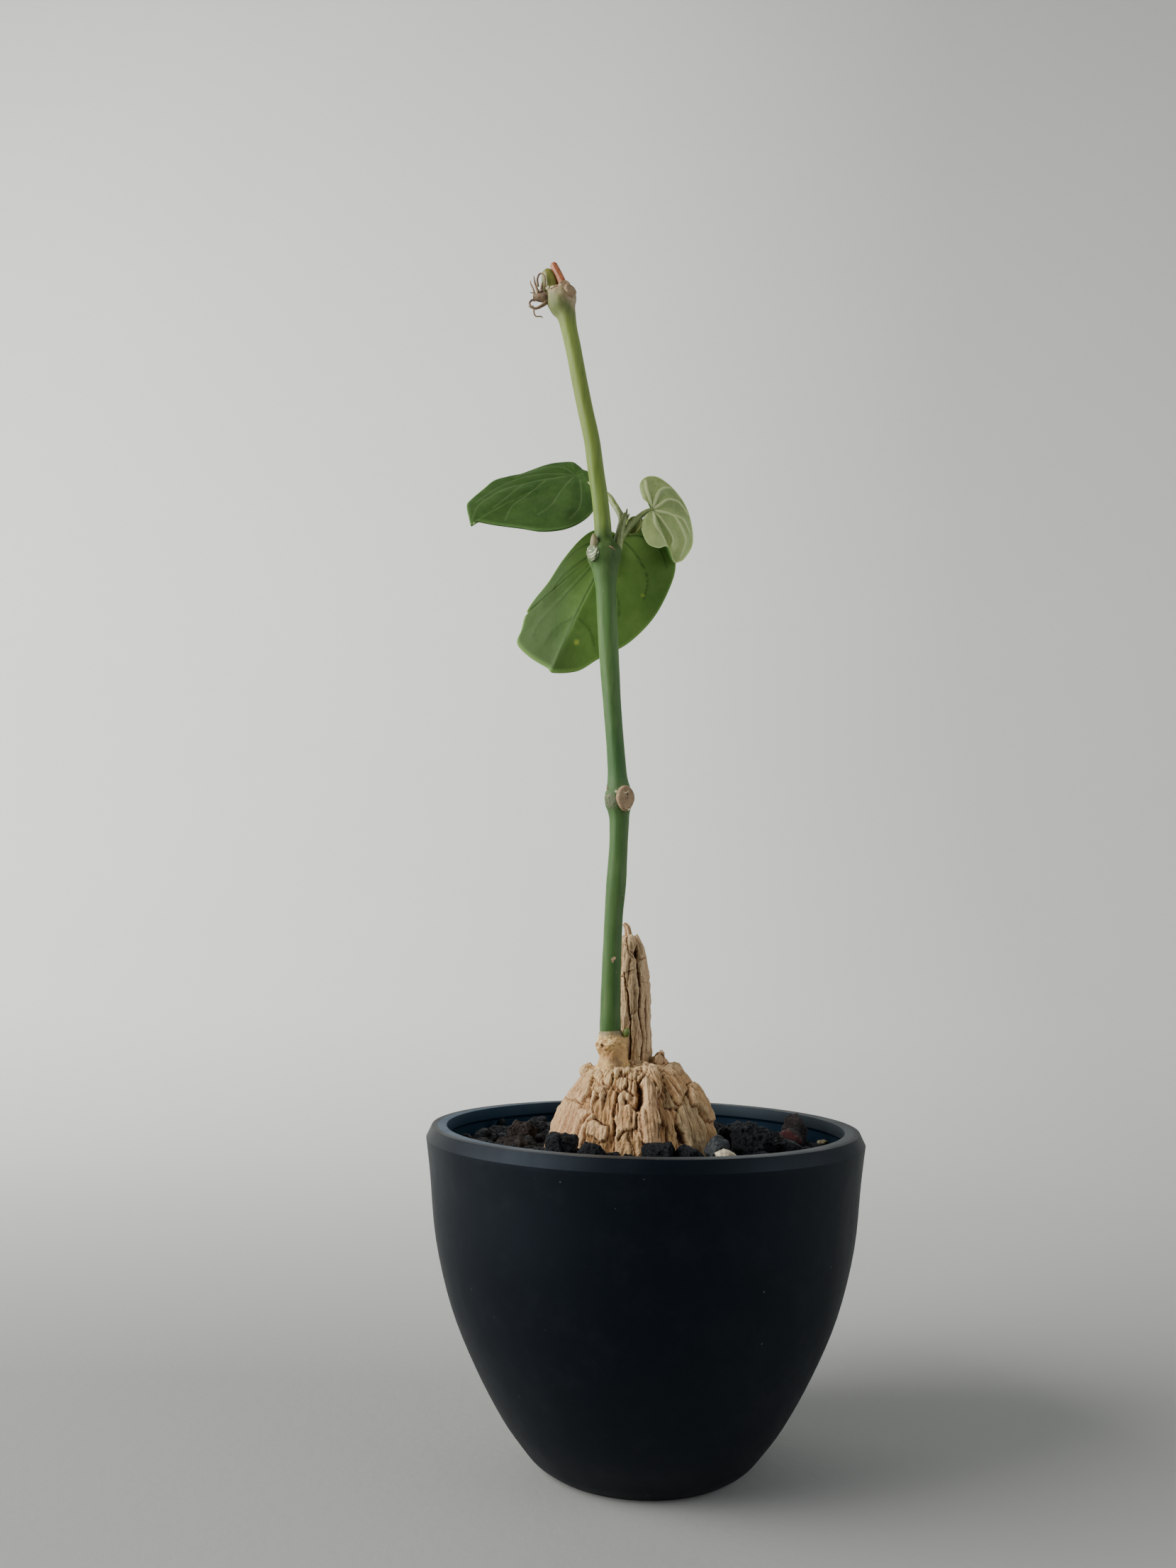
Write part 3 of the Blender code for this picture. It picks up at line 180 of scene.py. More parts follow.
# Cracks and hollows: width and depth in millimetres, then the line in the same measures
GROOVES = [
    (0.9, 1.4, [(5, 19.2), (4, 17.2), (3, 15.0), (1, 13.3)]),
    (0.7, 1.5, [(32, 8.4), (33.5, 6.5), (34, 4.9)]),
    (2.2, 0.6, [(31, 19.5), (26, 16), (21.5, 12), (18.5, 8), (18.5, 3)]),
    (0.5, 0.7, [(-18, 17.4), (-18, 13), (-16, 10), (-15.5, 5)]),
    (0.35, 1.0, [(58, 13.2), (63, 10.9), (70, 8.5)]),
    (0.28, 0.6, [(-74, 14.2), (-60, 13.9), (-51, 13.3)]),
    (0.5, 0.6, [(-44, 17.8), (-41.5, 15), (-41, 13), (-38.5, 11.3), (-42, 8.6), (-44, 4)]),
    (0.25, 0.6, [(-32, 9.7), (-26, 8.6), (-21, 8.6)]),
    (0.3, 0.7, [(12, 22.6), (18.5, 21), (20.5, 18.8), (18.5, 16.2)]),
    (0.3, 0.6, [(36, 15.2), (39, 13.9)]),
    (4.0, 0.9, [(-125, 18), (-74, 18)]),
    (1.7, 1.9, [(-120, 27.6), (-95, 26.9), (-66, 25.9)]),
]
# Slabs of the sides and the back: the first and last angle, and the levels they lie in
BACK_FIRST = 100
BACK_LAST = 262
BACK_COLUMNS = 8
BACK_LEVELS = [(-3.0, 12.4), (11.6, 20.9), (20.2, 26.0)]

# Blocks that stand up on the shoulder: outline seen from the front in x and z, then the depth
SHOULDER_WEDGES = metres([
    ([(1.4, 94.5), (1.8, 99), (4.5, 101.7), (5.6, 100.1), (7, 98), (7.4, 94.5)], -1.2, 5.2),
    ([(6.2, 94), (6.8, 97.5), (8.2, 98.4), (9.7, 98), (11, 95.7), (11.2, 93)], 1.2, 6.8),
    ([(-1.2, 95.2), (-0.6, 98.8), (1.8, 98.6), (3.7, 96.5), (3.6, 93.8), (0.4, 94.2)], -7.6, -2.4),
    ([(-17, 92.5), (-16, 96.2), (-14.6, 97.4), (-12.8, 96.8), (-12.2, 92.5)], -4.2, 1.2),
    ([(-7.2, 96), (-6, 99.6), (-2, 99.9), (0, 96)], 8, 13.6),
    ([(-13, 95), (-12, 98.6), (-8.8, 99.2), (-7.2, 95)], 4.4, 9.6),
])

# Old stump, its fibrous core and the corky neck: centre line with radius
STUMP_ROUTE = metres([
    (-3.2, 4.5, 95, 5.6), (-3, 4.5, 101, 4.9), (-3, 4.6, 112, 4.7), (-3.4, 4.7, 122, 4.4),
    (-3.6, 4.7, 130, 3.8), (-3.6, 4.7, 131.8, 2.2),
])
STUMP_RECESS = 0.0008
STUMP_COLUMNS = 220
STUMP_ROWS = 240
# How far the stump reaches to its right at each height, where its top slopes off
STUMP_SLOPE = metres([
    (119, 6), (123, 4.5), (126.2, 4), (128.9, 3.4), (130.4, 2.5), (132.2, 1.3),
])
# Slabs of the stump: outlines as angle from the front in degrees and height in millimetres
STUMP_SLABS = [
    ([(-84, 94), (-10, 94), (-10, 103), (-12, 109), (-16, 112.5), (-23, 116.5), (-32, 120.6),
     (-84, 121.2)], 0.0, 0.35),
    ([(-84, 121), (-33, 120.8), (-24, 123.4), (-30, 128), (-34, 136), (-84, 136)], 0.2, 0.3),
    ([(-9, 98), (24, 100), (30, 104.5), (25, 106.8), (18, 110.7), (17, 114.2), (22, 116.5),
     (21, 119.6), (16, 123.4), (-4, 123), (-26, 121.6), (-30, 120.4), (-20, 116.4), (-14, 112.4),
     (-11, 108.9), (-10, 106), (-9, 102.7)], 0.25, 0.35),
    ([(-28, 121.4), (-4, 122.4), (12, 123), (14, 125.6), (-3, 127.2), (-16, 129), (-30, 131),
     (-34, 127)], 0.45, 0.35),
    ([(26, 100.6), (60, 100.2), (84, 100.6), (86, 112), (84, 119.6), (58, 120.4), (23, 120),
     (24, 116.5), (19, 114.2), (20, 110.9), (28, 107), (32, 104.5)], 0.1, 0.45),
    ([(22, 119.6), (52, 119.4), (84, 119.8), (84, 126.2), (52, 125.6), (24, 126), (17, 124.8)],
     0.3, 0.4),
    ([(-16, 129), (-2, 127.2), (8, 127.8), (18, 130), (12, 136), (-24, 136)], 0.45, 0.4),
    ([(22, 125.8), (50, 125.4), (84, 126), (84, 136), (16, 136), (20, 129.4)], 0.5, 0.5),
    ([(-10, 94), (20, 94), (23, 99.6), (-6, 99.3)], 0.4, 0.3),
    ([(24, 94), (84, 94), (84, 100.8), (44, 100.6), (27, 101)], 0.3, 0.4),
    ([(84, 95), (126, 95), (130, 112), (118, 123), (84, 121)], 0.1, 0.5),
    ([(84, 120), (120, 122.4), (126, 136), (84, 136)], 0.35, 0.4),
    ([(126, 95), (172, 95), (174, 112), (168, 136), (126, 136), (130, 112)], 0.2, 0.6),
    ([(172, 95), (216, 95), (212, 117), (174, 119)], 0.05, 0.35),
    ([(170, 117.6), (212, 116.2), (220, 136), (166, 136)], 0.3, 0.5),
    ([(214, 95), (264, 95), (268, 108), (254, 125), (212, 122)], 0.15, 0.6),
    ([(214, 122), (252, 124.4), (274, 136), (218, 136)], 0.35, 0.45),
    ([(264, 95), (277, 95), (277, 136), (270, 136), (254, 124), (268, 108)], 0.1, 0.4),
]
STUMP_GROOVES = [
    (0.3, 0.8, [(-30.4, 120.4), (-20.8, 116.4), (-14.6, 112.4), (-11.4, 108.9), (-11.1, 106.2),
     (-9.5, 102.7), (-10.3, 98.0)]),
    (0.24, 0.7, [(16.0, 124.5), (17.9, 122.7), (21.3, 119.6), (22.8, 116.5), (17.7, 114.2),
     (18.1, 110.7), (27.0, 106.7), (32.5, 104.5), (25.1, 100.4)]),
    (0.18, 0.3, [(-40.5, 120.9), (-27.5, 121.8), (-4.6, 122.7), (12.1, 123.2), (23.7, 125.4),
     (44.6, 125.7)]),
    (0.2, 0.35, [(-28.6, 129.5), (-16.6, 129.0), (-11.9, 127.2), (3.3, 125.9), (11.7, 126.3)]),
    (0.5, 1.0, [(15.0, 127.6), (16.0, 126.6)]),
    (0.22, 0.5, [(46, 118), (43, 112), (48, 106), (45, 101)]),
    (0.25, 0.5, [(100, 128), (104, 116), (98, 104)]),
    (0.25, 0.6, [(150, 130), (146, 118), (152, 106), (149, 97)]),
    (0.25, 0.6, [(238, 130), (233, 118), (240, 106), (236, 97)]),
]
CORE_ROUTE = metres([
    (-4, 4.7, 128, 1.5), (-4.6, 4.7, 132.5, 1.1), (-4.9, 4.7, 134.3, 0.9), (-5.8, 4.7, 135.3, 0.6),
])
COLLAR_ROUTE = metres([
    (-8.6, -3.6, 94, 6.2), (-8.5, -3.8, 97.2, 4.6), (-8.6, -4, 100, 3.7), (-9, -4, 103.6, 4.1),
    (-9.2, -4, 105, 3.4), (-9.3, -4, 106.6, 2.9),
])

NECK_HOLE = Vector((-0.0118, -0.0073, 0.103))

# Green stem: centre line with radius, from the neck to the swollen head
STEM_Y = -0.004
STEM_ROUTE = metres([
    (-9.4, 106, 2.7), (-9.4, 108, 2.8), (-9.4, 115, 2.65), (-9.2, 126, 2.55), (-8.8, 137.4, 2.5),
    (-8.3, 145.1, 2.7), (-7.8, 154.5, 2.52), (-7.6, 162, 2.62), (-7.7, 165.2, 3),
    (-7.8, 167.6, 3.8), (-7.8, 170, 4), (-8, 172.4, 3.2), (-8.3, 176.2, 2.65), (-8.9, 183.5, 2.5),
    (-9.9, 195, 2.5), (-10.8, 207, 2.7), (-11.6, 220, 2.8), (-12, 228, 2.9), (-12.2, 231.8, 3.3),
    (-12.3, 234.6, 3.8), (-12.5, 237.2, 4.7), (-12.6, 239.2, 4.8), (-12.8, 241.4, 3.8),
    (-13, 243.6, 2.6), (-13.3, 248, 2.4), (-14.2, 256, 2.3), (-15.5, 264.5, 2.3),
    (-16.7, 273, 2.3), (-18.6, 281.6, 2.3), (-20.4, 290.3, 2.3), (-22.1, 299.1, 2.3),
    (-23.8, 307, 2.4), (-24.7, 311.2, 2.8), (-25.8, 314.2, 4), (-26.2, 316.2, 4.4),
    (-26.3, 317.8, 4), (-26.4, 319, 2.4),
])
LOWER_NODE = 0.17
UPPER_NODE = 0.2385
HEAD = 0.3165
STEM_SIDES = 72

# Scars on the stem: finish, then centre and half sizes in millimetres, and the turn about Z
# and the tilt of the oval in degrees
STEM_SCARS = [
    ("scar_tan", (-6.1, -7, 168.7), (2.8, 1.4, 3.6), 25, 0),
    ("scar_cream", (-8.6, -8, 170.4), (0.4, 0.2, 0.4), 0, 0),
    ("scar_cream", (-5.1, -7.7, 165.6), (0.4, 0.2, 0.2), 0, -30),
    ("scar_cream", (-11.2, -6.1, 169.5), (0.3, 0.2, 0.2), 0, 0),
    ("scar_cream", (-10.6, -6.9, 169.4), (0.3, 0.2, 0.25), 0, 20),
    ("scar_cream", (-10.1, -7.2, 169.1), (0.2, 0.2, 0.2), 0, 0),
    ("scar_tan", (-10.8, -5.6, 171.4), (0.4, 0.4, 0.5), 0, 0),
    ("scar_tan", (-8.8, -6.45, 125.5), (0.8, 0.25, 0.5), 0, -35),
    ("scar_tan", (-9, -6.48, 124.7), (0.3, 0.2, 0.3), 0, 0),
    ("scar_cream", (-18.1, -5.2, 274.5), (0.3, 0.2, 0.6), 0, 0),
    ("scar_pale", (-15.7, -6.9, 238), (2.2, 1.8, 2.6), -40, -15),
    ("green_stem", (-9.8, -5.4, 238.6), (2.2, 2, 2.8), 40, 0),
    ("scar_tan", (-23.6, -7.3, 316.9), (2.2, 1.3, 1.7), 36, 30),
    ("scar_tan", (-25.3, -5.4, 319.7), (1.8, 1.8, 1.4), 0, 10),
    ("scar_tan", (-27.6, -5.8, 318.6), (1.4, 1.2, 1), -10, -15),
    ("scar_cream", (-26.6, -7, 319), (0.5, 0.3, 0.4), 0, 0),
    ("scar_cream", (-30.3, -5.6, 318.8), (0.6, 0.5, 0.7), -20, 30),
    ("scar_cream", (-28.9, -6.1, 318.8), (0.7, 0.5, 0.4), 0, -20),
    ("scar_cream", (-29.7, -6.4, 317.6), (0.4, 0.4, 0.6), 0, 30),
]
# Fine lines on the scars: finish and route with radius
SCAR_LINES = metres([
    ("scar_cream", [(-6.8, -8.15, 170.5, 0.07), (-6.21, -7.94, 170.1, 0.13),
     (-5.57, -7.62, 170.37, 0.13), (-5.3, -7.5, 170.7, 0.06)]),
    ("scar_dark", [(-5.56, -7.56, 169.95, 0.12), (-5.5, -7.64, 169.7, 0.2),
     (-5.56, -7.58, 169.45, 0.12)]),
    ("scar_dark", [(-6.02, -7.78, 169.15, 0.05), (-5.98, -7.79, 168.5, 0.08),
     (-5.94, -7.75, 167.9, 0.05)]),
    ("scar_dark", [(-5.41, -7.51, 169.1, 0.05), (-5.4, -7.52, 168.5, 0.07),
     (-5.4, -7.49, 168, 0.05)]),
    ("scar_cream", [(-8.3, -8.3, 169.6, 0.08), (-8.1, -8.4, 168.4, 0.12),
     (-7.5, -8.3, 167.1, 0.12), (-6.6, -8, 166.2, 0.1), (-5.5, -7.7, 165.8, 0.06)]),
    ("scar_tan", [(-12.23, -8, 239.85, 0.1), (-11.16, -8.4, 239.45, 0.22),
     (-10.29, -8.2, 239.05, 0.22), (-9.67, -7.6, 238.52, 0.1)]),
])
GREEN_STUB_ROUTE = metres([
    (-28.6, -3.6, 317, 2.3), (-29.5, -3.6, 320.5, 2.4), (-30, -3.6, 323.2, 2.2),
    (-30.4, -3.6, 324.9, 1.7), (-30.6, -3.6, 325.8, 0.8),
])
ORANGE_STUB_ROUTE = metres([
    (-25.9, -4.8, 320.6, 1.25), (-27, -4.8, 323.2, 1.15), (-28.1, -4.8, 325.4, 1.1),
    (-28.7, -4.8, 326.6, 1.05), (-29, -4.8, 327.1, 0.6),
])
AXILLARY_BUD_ROUTE = metres([
    (-15.3, -6.8, 238.8, 1), (-15.5, -7.1, 240.2, 1.2), (-15.6, -7.1, 241.6, 1.1),
    (-15.7, -6.9, 242.8, 0.8), (-15.7, -6.8, 243.7, 0.3),
])
BASAL_BUD_ROUTE = metres([
    (-5.4, -5.1, 105.2, 0.6), (-5.2, -5.2, 106, 0.9), (-5.1, -5.2, 106.8, 0.9),
    (-5.2, -5.2, 107.4, 0.4),
])
# Dried flower: body, curled lip, strands and threads, each with its radius
FLOWER_ROUTES = metres([
    [(-30.2, -4.6, 316.6, 1.3), (-31.5, -4.8, 316.3, 1.4), (-32.8, -4.9, 316.2, 1.2),
     (-34.4, -4.8, 316.4, 0.8)],
    [(-30.4, -4.6, 315.3, 0.8), (-31.3, -4.8, 314.1, 0.55), (-33.3, -4.8, 312.9, 0.4),
     (-34.7, -4.8, 313, 0.3), (-35.7, -4.8, 313.5, 0.1)],
    [(-34.2, -5, 313.2, 0.3), (-35.1, -5, 313.4, 0.3), (-35.4, -5, 314.4, 0.3),
     (-34.7, -5, 315.3, 0.3), (-33.8, -5, 315, 0.25)],
    [(-33, -4.8, 317.6, 0.5), (-33.5, -4.9, 319, 0.4), (-34, -4.9, 320.6, 0.3),
     (-34.4, -4.9, 323, 0.12)],
    [(-34.1, -4.6, 317.8, 0.3), (-34.7, -4.6, 319.5, 0.26), (-35.3, -4.6, 320.8, 0.2),
     (-35.2, -4.6, 321.7, 0.1)],
    [(-33.1, -5.2, 319.5, 0.4), (-33.3, -5.6, 321.3, 0.3), (-32.9, -6, 322.6, 0.26),
     (-32.1, -6.4, 322.9, 0.24), (-31.3, -6.6, 322, 0.22), (-31, -6.4, 320.5, 0.2),
     (-31.1, -6, 318.9, 0.15)],
    [(-34.1, -4.8, 312.9, 0.26), (-34.1, -4.8, 311.4, 0.24), (-33.6, -4.8, 310.4, 0.22),
     (-32.7, -4.8, 310.3, 0.2), (-31.9, -4.8, 310.3, 0.18), (-31.5, -4.8, 309.7, 0.1)],
    [(-32, -5.4, 317.6, 0.6), (-32, -5.6, 319, 0.4), (-31.9, -5.8, 320.5, 0.12)],
    [(-33.8, -4.6, 317.6, 0.3), (-35.4, -4.6, 318, 0.1)],
    [(-32.2, -4.4, 317.2, 0.8), (-33.1, -4.2, 318.4, 0.6), (-33.4, -4, 319.6, 0.2)],
])
SHOOT_ROUTE = metres([
    (-9.2, -1.8, 240, 1.4), (-8.8, -1.4, 242.5, 1.4), (-8.3, -0.9, 246.2, 1.2),
    (-7.6, -0.2, 249.5, 1.1), (-6.9, 0, 251.5, 0.9), (-6.6, 0, 252.6, 0.5),
])
SHOOT_SCALES = metres([
    [(-6.9, 0, 250.8), (-7.4, -0.2, 251.8), (-7.6, -0.3, 252.9)],
    [(-6.6, 0.1, 251), (-6.4, 0.1, 252.6), (-6.2, 0.1, 254)],
    [(-6.7, 0.1, 250.5), (-6, -0.5, 251.4), (-5.6, -0.6, 252.2)],
])

# Leaves: the junction of the veins, the edge round the blade from there, the veins
BLADE_THICKNESS = 0.00055
LEAF_LEFT = metres({
    "junction": (-21.6, 17.9, 271.4), "belly": (0, 0.9, 1.6),
    "edge": [
        (-17.6, 16, 269.3), (-16, 16.6, 270.6), (-16.6, 17.8, 271.8), (-18.8, 19.6, 273.3),
        (-20.7, 21.3, 275.5), (-22.9, 22.7, 277.5), (-26.2, 23.2, 277.7), (-30.9, 21.9, 276.2),
        (-38.9, 17.6, 271.1), (-45.5, 15.3, 268.4), (-48.9, 11.2, 263.6), (-52.1, 6.8, 258.4),
        (-52.9, 4.1, 255.5), (-51.8, 0, 250.7), (-50.8, -2.5, 247.2), (-50.1, -2.2, 248.1),
        (-48.9, -2, 248.6), (-46.5, -2.2, 248.1), (-43.1, -2.6, 247.4), (-36.1, -3.6, 246.2),
        (-30.3, -4.5, 245.1), (-23.7, -3.4, 246.4), (-18.6, 1.2, 250.8), (-15.6, 6, 256.3),
        (-15, 11, 263.2), (-16.4, 15, 268.2),
    ],
    "petiole": [
        (-7.8, -0.2, 249.6, 0.9), (-8, 0.6, 251.9, 0.9), (-8.9, 2, 254.4, 0.9),
        (-10, 3.6, 256.8, 0.9), (-11.6, 6.2, 260.2, 0.9), (-15.7, 12.4, 265.4, 0.9),
        (-19.8, 17.4, 269.7, 0.9), (-22, 18.8, 271.2, 0.7),
    ],
    "veins": [
        [(-21.6, 17.9, 271.4), (-37, 13.3, 266), (-43.5, 10.2, 262.4), (-49.5, 4.1, 255.2),
         (-50.7, -2.6, 247.4)],
        [(-22.1, 17.2, 270.6), (-25.9, 10.3, 262.5), (-28.2, 5.1, 256.4), (-32.1, 0.9, 251.4)],
        [(-20.2, 15.7, 268.9), (-19.6, 10.1, 262.3), (-20.1, 4.7, 255.9), (-22.8, -0.3, 250.1)],
        [(-21.6, 17.9, 271.4), (-30, 17.8, 271.2), (-38.5, 15.5, 268.6), (-45.5, 11, 263.4),
         (-50.2, 5.6, 257.1)],
        [(-21.6, 17.9, 271.4), (-26.2, 20.6, 274.6), (-32, 20.2, 274.1), (-40, 16, 269.2)],
        [(-30, 15.5, 268.6), (-35.2, 9.2, 261.1), (-39.8, 4, 255), (-41.2, -1, 249.2)],
        [(-37, 13.3, 266), (-41.2, 8, 259.8), (-45.2, 3.4, 254.3)],
    ],
})
LEAF_LARGE = metres({
    "junction": (-8.5, 8, 248.3), "belly": (0, -1.4, 0),
    "edge": [
        (-10.5, 8.3, 249.6), (-15.4, 10.1, 250.9), (-19.8, 11.2, 248.2), (-24.9, 12.1, 242),
        (-29, 12.6, 235.4), (-33, 13.1, 230.2), (-35, 13.3, 227), (-34.7, 13.3, 226.1),
        (-35.7, 13.2, 224.9), (-36.6, 13.1, 221), (-37.7, 13.2, 216.9), (-33.9, 11.3, 212.4),
        (-28.6, 9.1, 208.7), (-26.8, 8.3, 207.1), (-19.8, 8.5, 207.8), (-13.6, 8.5, 211.6),
        (-5.1, 8.6, 216.4), (2.4, 8.6, 224.5), (7.4, 8.4, 234.9), (8.3, 8.2, 241.6),
        (6, 7.9, 247.5), (0.5, 7.7, 250.4), (-5.5, 7.7, 249.6),
    ],
    "petiole": [
        (-12.4, 1.2, 239.4, 0.9), (-12, 3.6, 240.2, 1), (-11, 6.6, 243.2, 1), (-9.8, 8, 246.4, 1),
        (-8.4, 8.3, 248, 0.8),
    ],
    "veins": [
        [(-8.5, 7.5, 248.3), (-15.8, 8.1, 234.1), (-20.6, 8.4, 223.6), (-23.6, 8.5, 216.6),
         (-25.6, 8.5, 211.7), (-26.7, 8.4, 207.6)],
        [(-10, 7.8, 245.5), (-15.9, 8.8, 239.1), (-20.8, 9.7, 233.7), (-25.5, 10.6, 228.5),
         (-30.9, 11.7, 222.9), (-33.1, 11.9, 218.6)],
        [(-8.5, 7.5, 248.3), (-17.4, 9.6, 242.2), (-22.6, 10.9, 238.4), (-25.7, 11.5, 235.5),
         (-27.9, 11.8, 231.9), (-30.4, 12.3, 229.4)],
        [(-8.5, 7.5, 248.3), (-16.6, 9.9, 246.4), (-21, 11.1, 244.4), (-23.8, 11.5, 241.8)],
        [(-8.5, 7.5, 248.3), (-4.7, 7.7, 244.5), (-1.6, 8, 239.9), (0.3, 8.2, 235),
         (-0.8, 8.3, 229)],
        [(-8.5, 7.5, 248.3), (-2, 7.8, 248), (3.6, 8, 244.4), (5.8, 8.2, 239)],
        [(-13, 8, 239.5), (-9.8, 8.2, 233), (-7.8, 8.4, 226.5), (-9.2, 8.5, 220)],
        [(-20.6, 8.4, 223.6), (-16.6, 8.5, 220), (-15, 8.5, 215)],
        [(-20.6, 8.4, 223.6), (-26.2, 9.6, 220.5), (-30, 10.1, 216)],
    ],
})
LEAF_RIGHT = metres({
    "junction": (1, 2, 254.4), "belly": (0, -1.2, 0),
    "edge": [
        (-1.4, 2.6, 258.2), (-2.4, 2.6, 262.3), (-0.7, 2.8, 264.7), (2.5, 3.2, 265),
        (5.9, 3.8, 263), (9.3, 4.5, 259.5), (11.6, 5.2, 255.6), (13, 5.8, 250.4),
        (13.1, 6.2, 245.5), (10.9, 6.2, 241.5), (9.3, 6, 240.3), (7.4, 5.4, 240.1),
        (5.3, 1.2, 243), (2.7, -0.8, 241.9), (-0.2, -1.4, 242.9), (-1.8, -0.8, 246.9),
        (-1.4, 0.6, 251),
    ],
    "petiole": [
        (-8.8, -0.6, 242.8, 1), (-7.7, 0, 245.6, 1.1), (-6.1, 0.3, 248.1, 1),
        (-3.7, 0.8, 250.8, 0.9), (-1.3, 1.4, 253.2, 0.8), (1.2, 1.9, 254.6, 0.7),
    ],
    "veins": [
        [(1, 2, 254.4), (-0.6, 1.7, 259.6), (-0.8, 1.8, 263.3)],
        [(1, 2, 254.4), (2.4, 2.7, 259.4), (4.2, 3.4, 261.2), (6.2, 4, 261.7)],
        [(1, 2, 254.4), (2.8, 2.7, 255.7), (5.1, 3.5, 257.6), (8.1, 4.5, 257.6), (10, 5.1, 256.1),
         (11.5, 5.5, 254.1)],
        [(1, 2, 254.4), (2, 2.3, 254), (6.6, 3.8, 253), (8.5, 4.4, 251.1), (10.6, 4.9, 247.2),
         (10.8, 4.9, 245.5), (9.8, 4.4, 241.4)],
        [(1, 2, 254.4), (1.1, 2, 252.6), (1.1, 1.8, 248.9), (2.4, 2.2, 246.3), (3.9, 2.6, 244.3)],
        [(1, 2, 254.4), (2.4, 2.4, 252.8), (5.1, 3.2, 249.3), (7, 3.7, 246.3), (6.8, 3.5, 244.3)],
        [(6.6, 3.8, 253), (9.8, 4.6, 252.4), (12.1, 5.2, 249)],
    ],
})
YOUNG_LEAF = metres({
    "junction": (-5.6, 2.4, 248), "belly": (0, 0.8, 0),
    "edge": [
        (-6.1, 2.6, 248.8), (-6.2, 3, 251), (-5, 3.3, 252.6), (-3.6, 3.4, 253.1), (-2, 3.3, 252.8),
        (-1.6, 3.2, 251), (-2.2, 3, 249), (-3.6, 2.7, 247.6), (-5, 2.5, 247.3),
    ],
    "petiole": [
        (-7.8, 0.2, 246.2, 0.6), (-6.6, 1.6, 247, 0.6), (-5.5, 2.5, 248.1, 0.5),
    ],
    "veins": [
        [(-5.6, 2.4, 248), (-4, 3.1, 250.5), (-2.4, 3.3, 252.2)],
    ],
})
# Node, form, columns, rings, how far it quilts, slot
LEAVES = [
    ("leaf_left", LEAF_LEFT, 240, 76, 0.00006, "leaf_upper"),
    ("leaf_large", LEAF_LARGE, 200, 72, -0.0001, "leaf_upper"),
    ("leaf_right", LEAF_RIGHT, 180, 60, 0.0004, "leaf_under"),
    ("young_leaf", YOUNG_LEAF, 60, 24, 0.00012, "young_growth"),
]
# Centre and radius
YELLOW_SPOTS = metres([
    ((-1.3, 7.7, 230.3), 0.7),
    ((-20.3, 8, 216.1), 0.9),
])

# Stones that the front view shows in the black bed: x, y, width, top
BLACK_STONES = metres([
    (-41.9, 6, 8, 80), (-30, 21.5, 9, 80.4), (-21.4, -24, 9.2, 82.9), (-14.2, -29, 8.4, 82.2),
    (-5.1, -29, 4.4, 79.7), (2.2, -29, 8.4, 81.8), (9.2, -28, 8, 81.4), (27, -12, 13.5, 85.2),
    (24.5, 12, 8, 80.8), (36.7, -11, 8.4, 80.8), (45.5, 2, 7, 77.9),
])
# The other stones: node, slot, finish, then x, y, width and top in millimetres, how tall each
# is for its width, and its lumps and pits in millimetres
COLOURED_STONES = [
    ("lava_stone_brown_back", "lava_brown", "lava_brown", (-33, 12.5, 10, 81.4), 0.9, 0.6, 0.4),
    ("lava_stone_brown_front", "lava_brown", "lava_brown", (-34.5, -8.5, 10.8, 80.4), 0.8, 0.6,
     0.4),
    ("lava_stone_tall", "lava_grey", "lava_grey", (41.2, 8, 8, 85.1), 1.5, 0.45, 0.18),
    ("lava_stone_red", "lava_red", "lava_red", (39, -2, 6.8, 82.4), 1.1, 0.45, 0.22),
    ("pebble_grey", "pebble", "pebble", (17.8, -19.5, 6.8, 82.8), 1.2, 0.3, 0.06),
    ("chip_pale_front", "pale_chip", "pale_chip", (17.8, -30, 5.6, 80.5), 0.5, 0.16, 0.04),
    ("chip_pale_right", "pale_chip", "tan_chip", (48.4, 5, 3.6, 78.2), 0.5, 0.2, 0.06),
]
STONE_SEED = 5
STONE_TRIES = 2600
STONE_SMALLEST = 0.0074
STONE_LARGEST = 0.0112
STONE_POINTS = 13
STONE_FLATNESS = 0.85
STONE_SUNK = 0.0022
# Where the seeded stones may lie: how far out, how high, and clear of the tuber and the wall
STONE_REACH = (0.02, 0.05)
STONE_TOPS = (0.0772, 0.0798)
TUBER_FOOT = 0.0222
STONE_LIMIT = 0.0512
GOLDEN_ANGLE = 2.399963
# Fineness of the even mesh, for the stones in front and for those at the back
FINE_VOXEL = 0.00026
COARSE_VOXEL = 0.0006
BLOCKY_STONES = (2, 5)
GRAINY_STONE = 7
GRIT_COUNT = 300
GRIT_SIZES = (0.0008, 0.0021)
GRIT_REACH = (0.021, 0.0505)
GRIT_LIFTS = (0.0004, 0.0022)
GRIT_SEED = 23

# Stage
STAGE_HALF_WIDTH = 3.0
STAGE_FRONT = -2.0
STAGE_WALL = 0.75
STAGE_TOP = 3.0

# Camera at the photograph's viewing angle
IMAGE_HEIGHT = 2212
FOCAL_PIXELS = 1660.0
CAMERA_PLACE = (-0.0163, -0.3237, 0.1251)
CAMERA_PITCH = math.radians(8.51)
CAMERA_ROLL = math.radians(0.86)
SENSOR_HEIGHT = 36.0


# Modelling helpers

def pick(item):
    """Makes the piece the only one that an operator acts on."""
    if bpy.context.mode != "OBJECT":
        bpy.ops.object.mode_set(mode="OBJECT")
    bpy.ops.object.select_all(action="DESELECT")
    if item is not None:
        item.select_set(True)
        bpy.context.view_layer.objects.active = item


def added(name):
    """The primitive just added, named, with its place in its mesh."""
    item = named(name)
    bpy.ops.object.transform_apply(location=True, rotation=True, scale=True)
    return item


def named(name):
    """The active piece under a new name."""
    item = bpy.context.object
    item.name = name
    item.data.name = name
    return item


